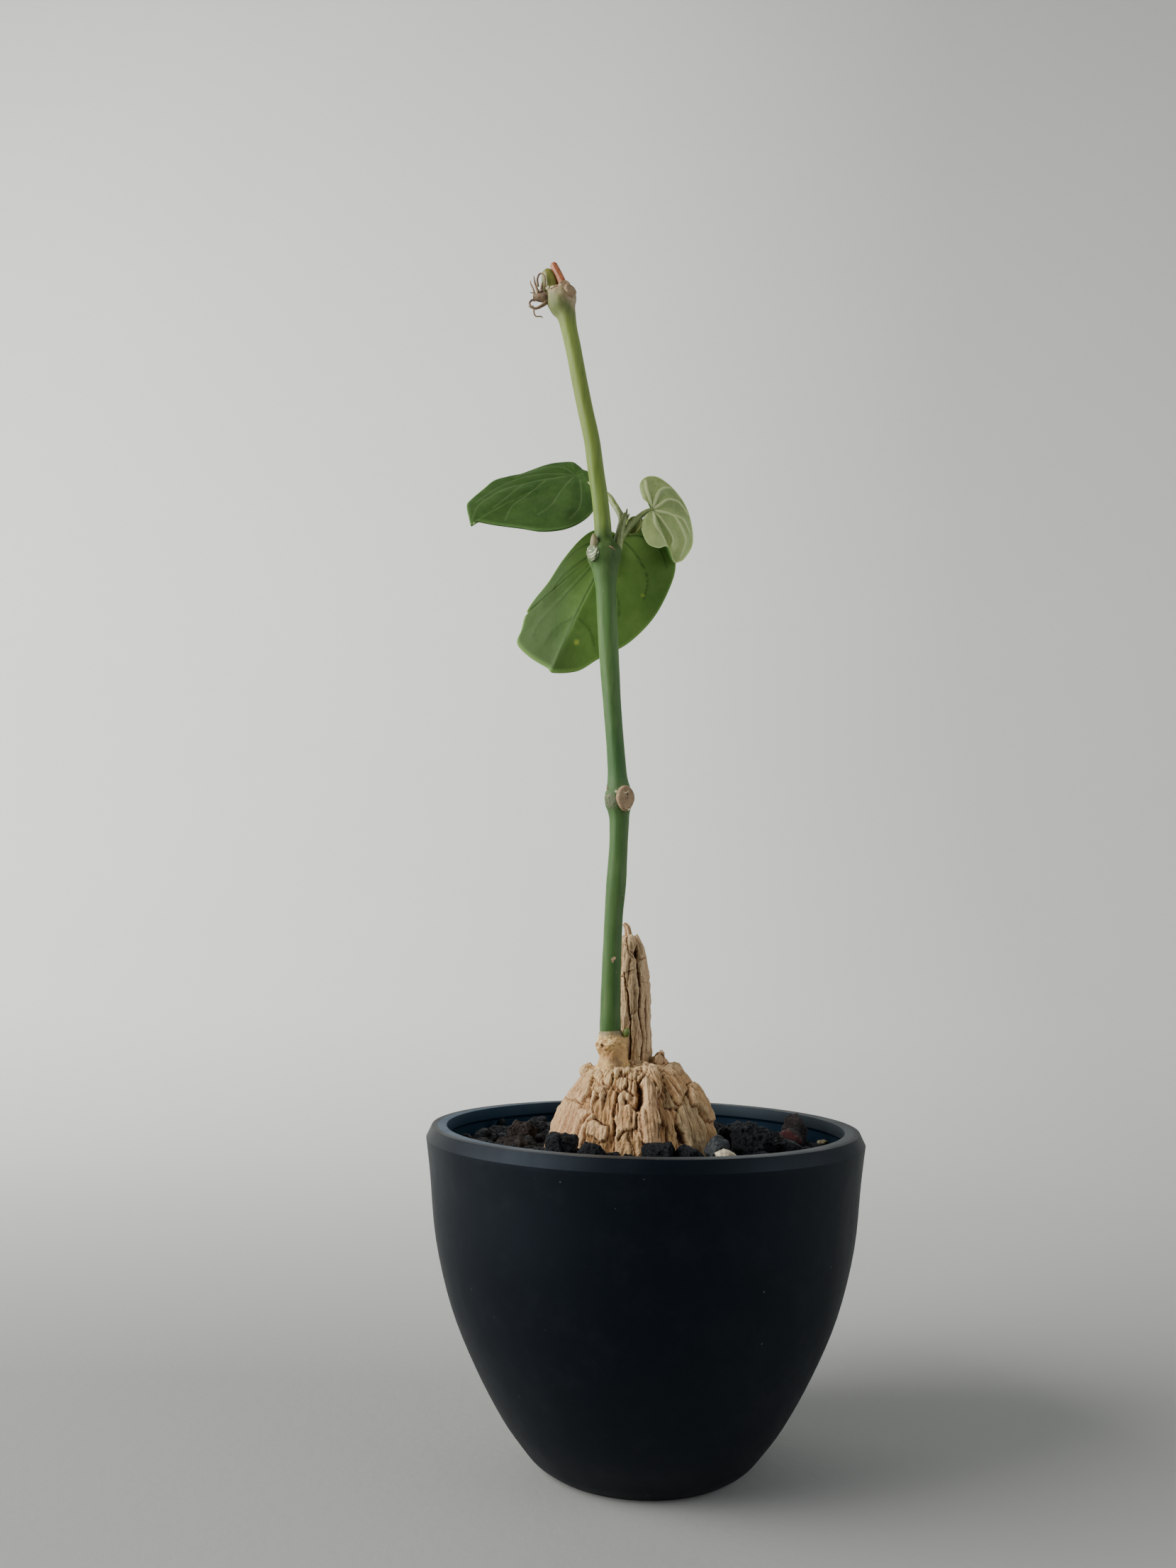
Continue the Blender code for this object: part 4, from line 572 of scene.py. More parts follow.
def modify(item, name, kind, **settings):
    """Gives the piece a modifier and applies it."""
    step = item.modifiers.new(name, kind)
    for key, value in settings.items():
        setattr(step, key, value)
    pick(item)
    bpy.ops.object.modifier_apply(modifier=step.name)


def whole_in_edit(item):
    """Opens the piece in edit mode with all of it selected."""
    pick(item)
    bpy.ops.object.mode_set(mode="EDIT")
    bpy.ops.mesh.select_all(action="SELECT")


def tidy_mesh(item, distance=0.000002):
    """Closes seams and poles, and turns every face outwards."""
    whole_in_edit(item)
    bpy.ops.mesh.remove_doubles(threshold=distance)
    bpy.ops.mesh.normals_make_consistent(inside=False)
    bpy.ops.object.mode_set(mode="OBJECT")


def smooth(item, degrees=180):
    """Shades the piece smooth, with edges sharper than the angle left crisp."""
    pick(item)
    bpy.ops.object.shade_smooth_by_angle(angle=math.radians(degrees))


def join(name, parts):
    """Joins several shapes into one piece."""
    pick(parts[0])
    for part in parts[1:]:
        part.select_set(True)
    if len(parts) > 1:
        bpy.ops.object.join()
    return named(name)


def hull(name, points):
    """The tightest solid round a few points."""
    shape = bmesh.new()
    for point in points:
        shape.verts.new(point)
    inside = bmesh.ops.convex_hull(shape, input=shape.verts)["geom_interior"]
    spare = [item for item in inside if isinstance(item, bmesh.types.BMVert)]
    bmesh.ops.delete(shape, geom=spare, context="VERTS")
    bmesh.ops.recalc_face_normals(shape, faces=shape.faces)
    mesh = bpy.data.meshes.new(name)
    shape.to_mesh(mesh)
    shape.free()
    return placed(name, mesh)


def placed(name, data):
    """A new object of the scene."""
    item = bpy.data.objects.new(name, data)
    bpy.context.scene.collection.objects.link(item)
    return item


def wear(item, *finishes):
    """Gives the piece its finishes, in the order of its material slots."""
    item.data.materials.clear()
    for finish in finishes:
        item.data.materials.append(finish)


def stand_for(item, node_name):
    """The piece moves with the part and stands for its node."""
    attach(item, "root")
    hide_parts(node_name)


def store(item, name, values):
    """Keeps a number for each point of the piece, or one for all, which its finish reads."""
    if isinstance(values, float):
        values = [values] * len(item.data.vertices)
    layer = item.data.attributes.new(name, "FLOAT", "POINT")
    layer.data.foreach_set("value", values)


def reshape(item, rule, marks=()):
    """Moves every point by a rule, which gives the new point and its marks."""
    points = []
    values = []
    for vertex in item.data.vertices:
        point, *extra = rule(vertex)
        points.extend(point)
        values.append(extra)
    item.data.vertices.foreach_set("co", points)
    for mark, column in zip(marks, zip(*values)):
        store(item, mark, column)
    item.data.update()


def smooth_through(points, per_span):
    """Points of a smooth curve through the given ones, of any number of values each."""
    result = []
    last = len(points) - 1
    for index in range(last):
        before = points[max(index - 1, 0)]
        start = points[index]
        end = points[index + 1]
        after = points[min(index + 2, last)]
        for step in range(per_span):
            t = step / per_span
            result.append(tuple(
                0.5 * (2 * b + (c - a) * t + (2 * a - 5 * b + 4 * c - d) * t * t
                       + (3 * b - a - 3 * c + d) * t * t * t)
                for a, b, c, d in zip(before, start, end, after)
            ))
    result.append(tuple(points[last]))
    return result


def shaped_grid(name, columns, rows, place, marks):
    """A grid whose points are laid out by a rule: place(column, row) gives a point and marks.

    The columns run round the piece and close on themselves, or meet where the rule says so.
    """
    pick(None)
    bpy.ops.mesh.primitive_grid_add(x_subdivisions=columns, y_subdivisions=rows, size=2.0)
    item = added(name)

    def rule(vertex):
        return place(round((vertex.co.x + 1.0) / 2.0 * columns),
                     round((vertex.co.y + 1.0) / 2.0 * rows))

    reshape(item, rule, marks)
    return item


def frames_along(stations):
    """The centre, radius and two side axes of each station of a route."""
    centres = [Vector(station[:3]) for station in stations]
    side_axis = None
    result = []
    for index, station in enumerate(stations):
        before = centres[max(index - 1, 0)]
        after = centres[min(index + 1, len(centres) - 1)]
        along = (after - before).normalized()
        if side_axis is None:
            guide = Vector((0.0, 1.0, 0.0)) if abs(along.y) < 0.9 else Vector((1.0, 0.0, 0.0))
            side_axis = guide.cross(along).normalized()
        else:
            side_axis = (side_axis - along * side_axis.dot(along)).normalized()
        result.append((centres[index], station[3], side_axis.copy(), along.cross(side_axis)))
    return result


def tube(name, route, sides, per_span, surface=None):
    """A closed tube along a route of x, y, z, radius.

    surface(angle, share, centre, radius) gives the radius there and how deep it lies, 0 to 1.
    """
    frames = frames_along(smooth_through(route, per_span))
    last = len(frames) - 1
    rows = last + 2

    def place(column, row):
        index = min(max(row - 1, 0), last)
        centre, radius, side_axis, other_axis = frames[index]
        if row in (0, rows):
            return centre, 0.0
        angle = 2 * math.pi * (column % sides) / sides
        deep = 0.0
        if surface is not None:
            radius, deep = surface(angle, index / last, centre, radius)
        offset = side_axis * math.cos(angle) + other_axis * math.sin(angle)
        return centre + offset * radius, deep

    item = shaped_grid(name, sides, rows, place, ("crevice",))
    tidy_mesh(item)
    smooth(item)
    return item


def turned_by_rings(name, profile, sides):
    """A turned body: a ring is extruded and resized from station to station, then closed."""
    pick(None)
    radius, height = profile[0]
    bpy.ops.mesh.primitive_circle_add(vertices=sides, radius=radius, location=(0, 0, height))
    item = added(name)
    whole_in_edit(item)
    for next_radius, next_height in profile[1:] + profile[:1]:
        lift = (0.0, 0.0, next_height - height)
        bpy.ops.mesh.extrude_region_move(TRANSFORM_OT_translate={"value": lift})
        grow = next_radius / radius
        bpy.ops.transform.resize(
            value=(grow, grow, 1.0), center_override=(0.0, 0.0, next_height),
        )
        radius, height = next_radius, next_height
    bpy.ops.object.mode_set(mode="OBJECT")
    tidy_mesh(item, 0.00001)
    return item


def held(value):
    """The number kept between 0 and 1."""
    return min(max(value, 0.0), 1.0)


def hump(away, width):
    """1 at the middle of a soft bump, and nothing a few widths away from it."""
    return math.exp(-(away / width) ** 2)


def noise_at(x, y, z):
    return noise.noise(Vector((x, y, z)))


# Tools for finishes

def node(tree, kind, inputs=None, **settings):
    """Adds a shader node; inputs are signals, numbers or colours, by name or place."""
    item = tree.nodes.new(kind)
    for name, value in settings.items():
        setattr(item, name, value)
    for key, value in (inputs or {}).items():
        entry = item.inputs[key]
        if isinstance(value, Signal):
            tree.links.new(value.socket, entry)
        else:
            entry.default_value = (*value, 1.0) if entry.type == "RGBA" else value
    return item


class Signal:
    """What a shader node puts out. It takes part in sums as a number does."""

    def __init__(self, socket):
        self.socket = socket

    def through(self, kind, inputs, outlet=0, **settings):
        """What another node of the same tree makes of its inputs."""
        return Signal(node(self.socket.id_data, kind, inputs, **settings).outputs[outlet])

    def math(self, operation, other=0.0):
        return self.through("ShaderNodeMath", {0: self, 1: other}, operation=operation)

    def vector(self, operation, inputs=None, outlet=0):
        return self.through("ShaderNodeVectorMath", {0: self, **(inputs or {})}, outlet,
                            operation=operation)

    def __add__(self, other):
        return self.math("ADD", other)

    def __sub__(self, other):
        return self.math("SUBTRACT", other)

    def __mul__(self, other):
        return self.math("MULTIPLY", other)

    def ramp(self, low, high, new_low=0.0, new_high=1.0):
        """Maps a range of values to another, held at its ends."""
        inputs = {0: self, 1: low, 2: high, 3: new_low, 4: new_high}
        return self.through("ShaderNodeMapRange", inputs, clamp=True)

    def cloud(self, scale, detail=3.0, roughness=0.55):
        """Soft noise from 0 to 1 at these coordinates."""
        inputs = {"Vector": self, "Scale": scale, "Detail": detail, "Roughness": roughness}
        return self.through("ShaderNodeTexNoise", inputs)

    def cells(self, scale, feature="F1", outlet="Distance"):
        """Voronoi cells at these coordinates."""
        inputs = {"Vector": self, "Scale": scale}
        return self.through("ShaderNodeTexVoronoi", inputs, outlet, feature=feature)

    def pushed(self, push, amount):
        """These coordinates pushed off by a cloud."""
        return self.vector("ADD", {1: push.vector("SCALE", {3: amount})})

    def scaled(self, *scale):
        return self.through("ShaderNodeMapping", {"Vector": self, "Scale": scale})


def blend(share, first, second, way="MIX"):
    """One colour mix."""
    signal = next(item for item in (share, first, second) if isinstance(item, Signal))
    inputs = {0: share, 6: first, 7: second}
    return signal.through("ShaderNodeMix", inputs, 2, data_type="RGBA", blend_type=way)


def steps(share, stops):
    """A ramp from share to colour."""
    made = share.through("ShaderNodeValToRGB", {0: share})
    ramp = made.socket.node.color_ramp
    while len(ramp.elements) < len(stops):
        ramp.elements.new(0.5)
    for element, (position, colour) in zip(ramp.elements, stops):
        element.position = position
        element.color = (*colour, 1.0)
    return made


def group(name, inputs, outputs):
    """A new shader node group with named inputs and outputs, and what comes in."""
    tree = bpy.data.node_groups.new(name, "ShaderNodeTree")
    kinds = {"Place": "NodeSocketVector", "First": "NodeSocketColor",
             "Second": "NodeSocketColor", "Colour": "NodeSocketColor"}
    for way, labels in (("INPUT", inputs), ("OUTPUT", outputs)):
        for label in labels:
            kind = kinds.get(label, "NodeSocketFloat")
            tree.interface.new_socket(label, in_out=way, socket_type=kind)
    entry = tree.nodes.new("NodeGroupInput").outputs
    return tree, [Signal(entry[label]) for label in inputs]


def make_mottle():
    """Two colours in soft patches, with a finer cloud over them."""
    inputs = ("Place", "Scale", "First", "Second")
    tree, (place, scale, first, second) = group("mottle", inputs, ("Colour",))
    share = place.cloud(scale, 4.0, 0.6) * 0.7 + place.cloud(scale * 5.3, 2.0, 0.5) * 0.3
    colour = blend(share.ramp(0.36, 0.64), first, second)
    node(tree, "NodeGroupOutput", {"Colour": colour})
    return tree


def make_fibres():
    """Fine upright fibres of wood and cork: a height and a mask of the dark lines."""
    inputs = ("Place", "Scale", "Stretch")
    tree, (place, scale, stretch) = group("fibres", inputs, ("Height", "Lines"))
    long_scale = stretch.through("ShaderNodeCombineXYZ", {0: 1.0, 1: 1.0, 2: stretch})
    long_place = place.vector("MULTIPLY", {1: long_scale})
    height = long_place.cloud(scale, 3.0, 0.65) * 0.65
    height += long_place.cloud(scale * 3.1, 2.0, 0.6) * 0.35
    node(tree, "NodeGroupOutput", {"Height": height, "Lines": height.ramp(0.5, 0.38)})
    return tree


def make_pores():
    """Round pits of bubbly stone: a height and a mask of the pits."""
    tree, (place, scale, size) = group("pores", ("Place", "Scale", "Size"), ("Height", "Pits"))
    bent = place.pushed(place.cloud(scale * 0.7, 2.0), 0.0006)
    pits = bent.cells(scale).ramp(size, 0.0)
    height = place.cloud(scale * 2.2, 4.0, 0.7) - pits * 0.8
    node(tree, "NodeGroupOutput", {"Height": height, "Pits": pits})
    return tree


def make_specks():
    """Dust: pale specks in some cells of the surface."""
    inputs = ("Place", "Scale", "Amount", "Size")
    tree, (place, scale, amount, size) = group("specks", inputs, ("Dots",))
    colour = place.cells(scale, outlet="Color")
    chosen = colour.through("ShaderNodeSeparateColor", {0: colour}).math("LESS_THAN", amount)
    near = place.cells(scale).ramp(size, size * 0.5)
    node(tree, "NodeGroupOutput", {"Dots": near * chosen})
    return tree


def make_net():
    """The fine net between a leaf's veins: a mask of its lines and the cells' heights."""
    tree, (place, scale, width) = group("net", ("Place", "Scale", "Width"), ("Lines", "Height"))
    bent = place.pushed(place.cloud(260.0, 2.0), 0.0022)
    large = bent.cells(scale, "DISTANCE_TO_EDGE")
    small = bent.cells(scale * 3.2, "DISTANCE_TO_EDGE")
    lines = large.ramp(width, 0.0).math("MAXIMUM", small.ramp(width * 1.6, 0.0, 0.0, 0.35))
    node(tree, "NodeGroupOutput", {"Lines": lines, "Height": large.ramp(0.0, 0.25)})
    return tree


MOTTLE = make_mottle()
FIBRES = make_fibres()
PORES = make_pores()
SPECKS = make_specks()
NET = make_net()


class Paint:
    """A finish in the making: where it is on the piece, its colour so far and its shader."""

    def __init__(self, name, roughness, **settings):
        """A new material with its plain settings on the shader's own sockets."""
        self.made = bpy.data.materials.new(name)
        self.made.use_nodes = True
        self.tree = self.made.node_tree
        self.shader = self.tree.nodes["Principled BSDF"].inputs
        self.shader["Roughness"].default_value = roughness
        for key, value in settings.items():
            self.shader[key.replace("_", " ")].default_value = value
        self.place = Signal(node(self.tree, "ShaderNodeTexCoord").outputs["Object"])
        axes = node(self.tree, "ShaderNodeSeparateXYZ", {0: self.place}).outputs
        self.across, self.depth, self.height = (Signal(axis) for axis in axes)
        self.colour = None

    def stretched(self, upright):
        """The coordinates, with patterns drawn out upwards where upright is under 1."""
        return self.place.scaled(1.0, 1.0, upright)

    def mark(self, name):
        """A number kept on the piece's points."""
        return Signal(node(self.tree, "ShaderNodeAttribute", attribute_name=name).outputs["Fac"])

    def away_from(self, *point):
        """The distance from a point, in metres."""
        return self.place.vector("DISTANCE", {1: point}, 1)

    def shared(self, tree, **inputs):
        """Places a shared group at the object's coordinates, if no others are given."""
        inputs.setdefault("Place", self.place)
        made = node(self.tree, "ShaderNodeGroup", inputs, node_tree=tree)
        return [Signal(socket) for socket in made.outputs]

    def mottle(self, scale, first, second):
        """The shared mottle in two colours."""
        return self.shared(MOTTLE, Scale=scale, First=first, Second=second)[0]

    def over(self, share, colour, way="MIX"):
        """Lays a colour over the one so far."""
        self.colour = blend(share, self.colour, colour, way)

    def lead(self, signal, entry):
        """Leads a signal into the shader."""
        self.tree.links.new(signal.socket, self.shader[entry])

    def done(self, height, strength, distance):
        """Leads the colour and the relief into the shader, and gives the material."""
        self.lead(self.colour, "Base Color")
        inputs = {"Height": height, "Strength": strength, "Distance": distance}
        self.lead(height.through("ShaderNodeBump", inputs), "Normal")
        return self.made


# Finishes

def make_pot_finish():
    """Near-black navy plastic, matt, with dust specks and faint smudges; inside, painted shade
    below the inner lip and painted light on the left of the inner wall.
    """
    paint = Paint("pot_plastic", 0.5, Specular_IOR_Level=0.16,
                  Specular_Tint=(0.64, 0.82, 1.0, 1.0))
    # inner wall: darker and bluer below the inner lip, as painted shade under it
    wall = blend(paint.height.ramp(0.0794, 0.0788), (0.013, 0.019, 0.024),
                 (0.0045, 0.014, 0.027))
    # painted light: the left of the inner wall made lighter, where the lamps leave it in shade
    wall = blend(paint.across.ramp(-0.02, -0.05), wall, (0.015, 0.043, 0.08))
    reach = paint.place.scaled(1.0, 1.0, 0.0).vector("LENGTH", outlet=1)
    inside = reach.ramp(0.0548, 0.0544) * paint.height.ramp(0.06, 0.062)
    paint.colour = paint.mottle(26.0, (0.0012, 0.0021, 0.0042), (0.0018, 0.003, 0.0056))
    paint.over(inside, wall)
    specks, = paint.shared(SPECKS, Scale=330.0, Amount=0.14, Size=0.075)
    fine_dust, = paint.shared(SPECKS, Scale=900.0, Amount=0.05, Size=0.11)
    dust = (specks * 0.3).math("MAXIMUM", fine_dust * 0.07)
    film = paint.place.cloud(90.0, 4.0, 0.7).ramp(0.5, 0.75, 0.0, 0.01)
    paint.over(dust.math("MAXIMUM", film), (0.3, 0.33, 0.36))
    smudge = paint.stretched(0.5).cloud(70.0, 4.0, 0.65).ramp(0.35, 0.7, 0.46, 0.56)
    paint.lead(smudge, "Roughness")
    return paint.done(paint.place.cloud(2600.0, 2.0, 0.5), 0.05, 0.0002)


def make_mix_finish():
    """Dark crumbly potting mix."""
    paint = Paint("potting_mix", 0.95)
    paint.colour = paint.mottle(420.0, (0.012, 0.008, 0.005), (0.06, 0.04, 0.026))
    height, _ = paint.shared(PORES, Scale=500.0, Size=0.5)
    return paint.done(height, 0.9, 0.001)


def make_stone_finish(name, first, second, pit, roughness, pore_scale, bumpiness,
                      streaked=False):
    """Porous stone: two colours in patches, painted shade in the pits and painted highlights on
    the crests, or a red streak.
    """
    paint = Paint(name, roughness, Specular_IOR_Level=0.16)
    paint.colour = paint.mottle(210.0, first, second)
    height, pits = paint.shared(PORES, Scale=pore_scale, Size=0.46)
    # painted shade in the pits
    paint.over(pits * 0.7, pit)
    # painted highlights on the crests of the stone
    light = tuple(min(channel * 2.4 + 0.008, 1.0) for channel in second)
    paint.over(paint.mark("crest").ramp(0.3, 1.0, 0.0, 0.5), light)
    if streaked:
        slope = paint.height + paint.across * 0.66 + paint.place.cloud(420.0) * 0.0016
        off_streak = (slope - 0.1062).math("ABSOLUTE")
        paint.over(off_streak.ramp(0.0016, 0.0008, 0.0, 0.95), (0.066, 0.02, 0.021))
    return paint.done(height, bumpiness, 0.001)


def make_bark_finish():
    """Pale cork: peach-tan faces, orange-brown cracks with painted shade in them, painted
    highlights on the crests, fibres, yellow round the neck.
    """
    paint = Paint("cork_bark", 0.82)
    place = paint.place
    drift = place.cloud(140.0).ramp(0.35, 0.65, -0.14, 0.14)
    paint.colour = steps(paint.mark("tone") + drift, [
        (0.0, (0.64, 0.39, 0.205)), (0.35, (0.68, 0.44, 0.205)),
        (0.6, (0.58, 0.335, 0.13)), (0.8, (0.49, 0.32, 0.135)),
        (1.0, (0.47, 0.375, 0.2)),
    ])
    faces, = paint.shared(MOTTLE, Place=paint.stretched(0.45), Scale=190.0,
                          First=(0.64, 0.58, 0.52), Second=(1.0, 1.0, 1.0))
    paint.over(1.0, faces, "MULTIPLY")
    fibres, lines = paint.shared(FIBRES, Scale=1500.0, Stretch=0.1)
    _, strands = paint.shared(FIBRES, Scale=700.0, Stretch=0.1)
    for dark_lines in (lines * 0.6, strands * 0.45):
        paint.over(dark_lines, (0.26, 0.12, 0.05))
    # olive-grey patches on the shaded side, yellow cork close to the neck
    olive = paint.across.ramp(0.004, 0.016, 0.0, 0.2) * place.cloud(130.0).ramp(0.4, 0.62)
    paint.over(olive, (0.34, 0.29, 0.17))
    near_neck = paint.away_from(-0.0088, -0.005, 0.0975).ramp(0.012, 0.005, 0.0, 0.85)
    paint.over(near_neck * place.cloud(420.0).ramp(0.36, 0.56), (0.78, 0.56, 0.24))
    # painted highlights on the crests of the relief
    paint.over(paint.mark("crest") * 0.58, (0.76, 0.54, 0.3))
    paint.over(paint.height.ramp(0.0945, 0.1, 0.0, 0.44), (0.74, 0.56, 0.35))
    # orange-brown colour and painted shade in the cracks and hollows, with a near-black painted
    # shadow in the deepest
    deep = paint.mark("crevice")
    paint.over(deep.ramp(0.14, 0.9, 0.0, 0.8), (0.24, 0.1, 0.034))
    paint.over(deep.ramp(0.82, 1.0, 0.0, 0.8), (0.05, 0.02, 0.01))
    return paint.done(fibres + place.cloud(2600.0, 3.0, 0.6) * 0.8, 0.8, 0.0008)


def make_collar_finish():
    """Corky neck: cream and yellow flakes over a tan skin, olive-grey where the green ends, dark
    joints and painted shade in its folds and hole.
    """
    paint = Paint("neck_cork", 0.7)
    place, height = paint.place, paint.height
    paint.colour = paint.mottle(300.0, (0.31, 0.165, 0.055), (0.58, 0.37, 0.135))
    ragged = place.cloud(520.0) * 0.0022
    patch = (paint.away_from(-0.008, -0.008, 0.0984) + ragged).ramp(0.0034, 0.0024, 0.0, 0.75)
    paint.over(patch, (0.13, 0.08, 0.035))
    left = paint.across.ramp(-0.0078, -0.0108, 0.25, 1.0)
    band = (height.ramp(0.1, 0.103) * left).math("MAXIMUM", height.ramp(0.0985, 0.097))
    flakes = place.cloud(700.0, 3.0, 0.6).ramp(0.52, 0.6)
    paint.over(flakes * band, (0.8, 0.59, 0.26))
    grey_band = (height + place.cloud(380.0) * 0.0016).ramp(0.1056, 0.1066)
    paint.over(grey_band * 0.85, (0.15, 0.14, 0.07))
    fibres, lines = paint.shared(FIBRES, Scale=1100.0, Stretch=0.25)
    paint.over(lines * 0.4, (0.3, 0.17, 0.08))
    # dark joints between the flakes, and painted shade in the folds and the hole
    paint.over(paint.mark("crevice").ramp(0.25, 0.9), (0.09, 0.045, 0.02))
    return paint.done(fibres, 0.5, 0.0005)


def make_stem_finish():
    """Green stem: deep green below, grey bloom under the upper node, yellow-green above it."""
    paint = Paint(
        "green_stem", 0.52, Specular_IOR_Level=0.17, Subsurface_Weight=0.3,
        Subsurface_Scale=0.0016, Subsurface_Radius=(0.7, 1.0, 0.35),
    )
    place, height = paint.place, paint.height
    base = steps(height.ramp(0.1, 0.33), [
        (0.0, (0.105, 0.13, 0.04)), (0.028, (0.046, 0.104, 0.025)),
        (0.27, (0.056, 0.12, 0.034)), (0.305, (0.058, 0.108, 0.038)),
        (0.325, (0.045, 0.11, 0.034)), (0.52, (0.062, 0.14, 0.034)),
        (0.585, (0.042, 0.1, 0.02)), (0.622, (0.034, 0.075, 0.014)),
        (0.64, (0.135, 0.2, 0.038)), (0.9, (0.185, 0.24, 0.055)),
        (0.925, (0.16, 0.18, 0.07)), (0.96, (0.26, 0.235, 0.12)),
    ])
    paint.colour = base
    fibres, streaks = paint.shared(FIBRES, Scale=900.0, Stretch=0.035)
    paint.over(streaks * 0.55, blend(1.0, base, (0.55, 0.62, 0.55), "MULTIPLY"))
    # rough grey-green skin left of the lower scar, brown skin on the head
    ragged = place.cloud(900.0, 3.0, 0.7) * 0.0022
    bulge = (paint.away_from(-0.01, -0.0068, 0.168) + ragged).ramp(0.0036, 0.0028)
    paint.over(bulge, paint.mottle(1900.0, (0.045, 0.062, 0.03), (0.15, 0.17, 0.095)))
    head = (paint.across * 0.7 + height + place.cloud(420.0) * 0.0034).ramp(0.2974, 0.2992)
    paint.over(head, paint.mottle(620.0, (0.19, 0.165, 0.08), (0.38, 0.29, 0.18)))
    patches = paint.stretched(0.25).cloud(260.0).ramp(0.42, 0.66, 0.0, 0.22)
    paint.over(patches, (0.19, 0.26, 0.105))
    # waxy bloom below the upper node
    high_bloom = height.ramp(0.19, 0.228) * height.ramp(0.237, 0.233)
    low_bloom = height.ramp(0.169, 0.1712) * height.ramp(0.179, 0.174, 0.0, 0.8)
    bloom_cloud = paint.stretched(0.3).cloud(300.0, 4.0).ramp(0.3, 0.75, 0.25, 0.85)
    bloom = high_bloom.math("MAXIMUM", low_bloom) * (bloom_cloud * 0.2)
    paint.over(bloom, (0.23, 0.32, 0.16))
    dots, = paint.shared(SPECKS, Scale=620.0, Amount=0.2, Size=0.16)
    paint.over(dots * 0.22, (0.36, 0.38, 0.17))
    paint.lead(bloom * 0.3 + fibres.ramp(0.3, 0.7, 0.48, 0.6), "Roughness")
    return paint.done(fibres, 0.26, 0.0003)


def make_scar_finish(name, first, second):
    """Dry corky scar where a leaf fell."""
    paint = Paint(name, 0.75)
    paint.colour = paint.mottle(700.0, first, second)
    dark = tuple(channel * 0.35 for channel in first)
    paint.over(paint.mark("crevice").ramp(0.3, 0.9, 0.0, 0.9), dark)
    fibres, _ = paint.shared(FIBRES, Scale=1800.0, Stretch=0.6)
    return paint.done(fibres, 0.5, 0.0003)


def make_ringed_finish():
    """The left scar of the upper node: whitish curved bands on grey-green skin."""
    paint = Paint("scar_pale", 0.55)
    paint.colour = paint.mottle(500.0, (0.05, 0.1, 0.025), (0.15, 0.19, 0.08))
    wobble = paint.place.cloud(420.0, 2.0) * 0.0011
    rings = ((paint.away_from(-0.0172, -0.0082, 0.2397) + wobble) * 6800.0).math("SINE")
    breaks = paint.place.cloud(800.0, 2.0).ramp(0.4, 0.52)
    paint.over(rings.ramp(0.25, 0.8) * breaks, (0.6, 0.59, 0.4))
    return paint.done(rings, 0.3, 0.0002)


def make_growth_finish(name, low, high, roughness):
    """Small fresh or dried growth: one colour that turns to another, with fine streaks."""
    paint = Paint(name, roughness)
    paint.colour = paint.mottle(520.0, low, high)
    fibres, lines = paint.shared(FIBRES, Scale=1700.0, Stretch=0.15)
    paint.over(lines * 0.5, tuple(channel * 0.4 for channel in low))
    return paint.done(fibres, 0.4, 0.0003)


def make_leaf_finish(name, deep, fresh, vein, vein_share, net_share, roughness, spots=(),
                     painted_shade_side=None):
    """Leaf skin: green in soft patches, veins kept on the blade, and a fine net.

    The last value paints shade on one side: the axis, where it starts, where it is full, how much.
    """
    paint = Paint(
        name, roughness, Specular_IOR_Level=0.22, Subsurface_Weight=0.35,
        Subsurface_Scale=0.0012, Subsurface_Radius=(0.6, 1.0, 0.3),
    )
    paint.colour = paint.mottle(70.0, deep, fresh)
    # painted shade on one side of the blade
    if painted_shade_side is not None:
        axis, start, full, most = painted_shade_side
        paint.over(getattr(paint, axis).ramp(start, full, 0.0, most), (0.02, 0.045, 0.01))
    lines, height = paint.shared(NET, Scale=360.0, Width=0.055)
    paint.over(lines * net_share, vein)
    paint.over(paint.mark("vein") * vein_share, vein)
    edge = tuple(min(channel * 1.7 + 0.02, 1.0) for channel in fresh)
    paint.over(paint.mark("margin").ramp(0.965, 0.995, 0.0, 0.55), edge)
    for centre, radius in spots:
        wobble = paint.place.cloud(1500.0, 2.0) * 0.0006
        near = (paint.away_from(*centre) + wobble).ramp(1.9 * radius, 0.6 * radius)
        paint.over(near, (0.48, 0.52, 0.06))
    return paint.done(height * 0.6 - lines * 0.4, 0.1, 0.0003)


def make_backdrop_finish():
    """Pale painted plaster, with painted shade that darkens the floor towards the front and the
    right side.
    """
    paint = Paint("backdrop_paint", 0.9)
    paint.colour = paint.mottle(2.2, (0.77, 0.78, 0.75), (0.795, 0.805, 0.775))
    # painted shade: darker towards the front of the floor
    paint.over(paint.depth.ramp(0.56, 0.05, 0.0, 0.92), (0.27, 0.275, 0.265))
    # painted shade: darker towards the right
    paint.over(paint.across.ramp(0.0, 0.34, 0.0, 0.46), (0.4, 0.405, 0.385))
    return paint.done(paint.place.cloud(260.0, 3.0, 0.6), 0.1, 0.001)


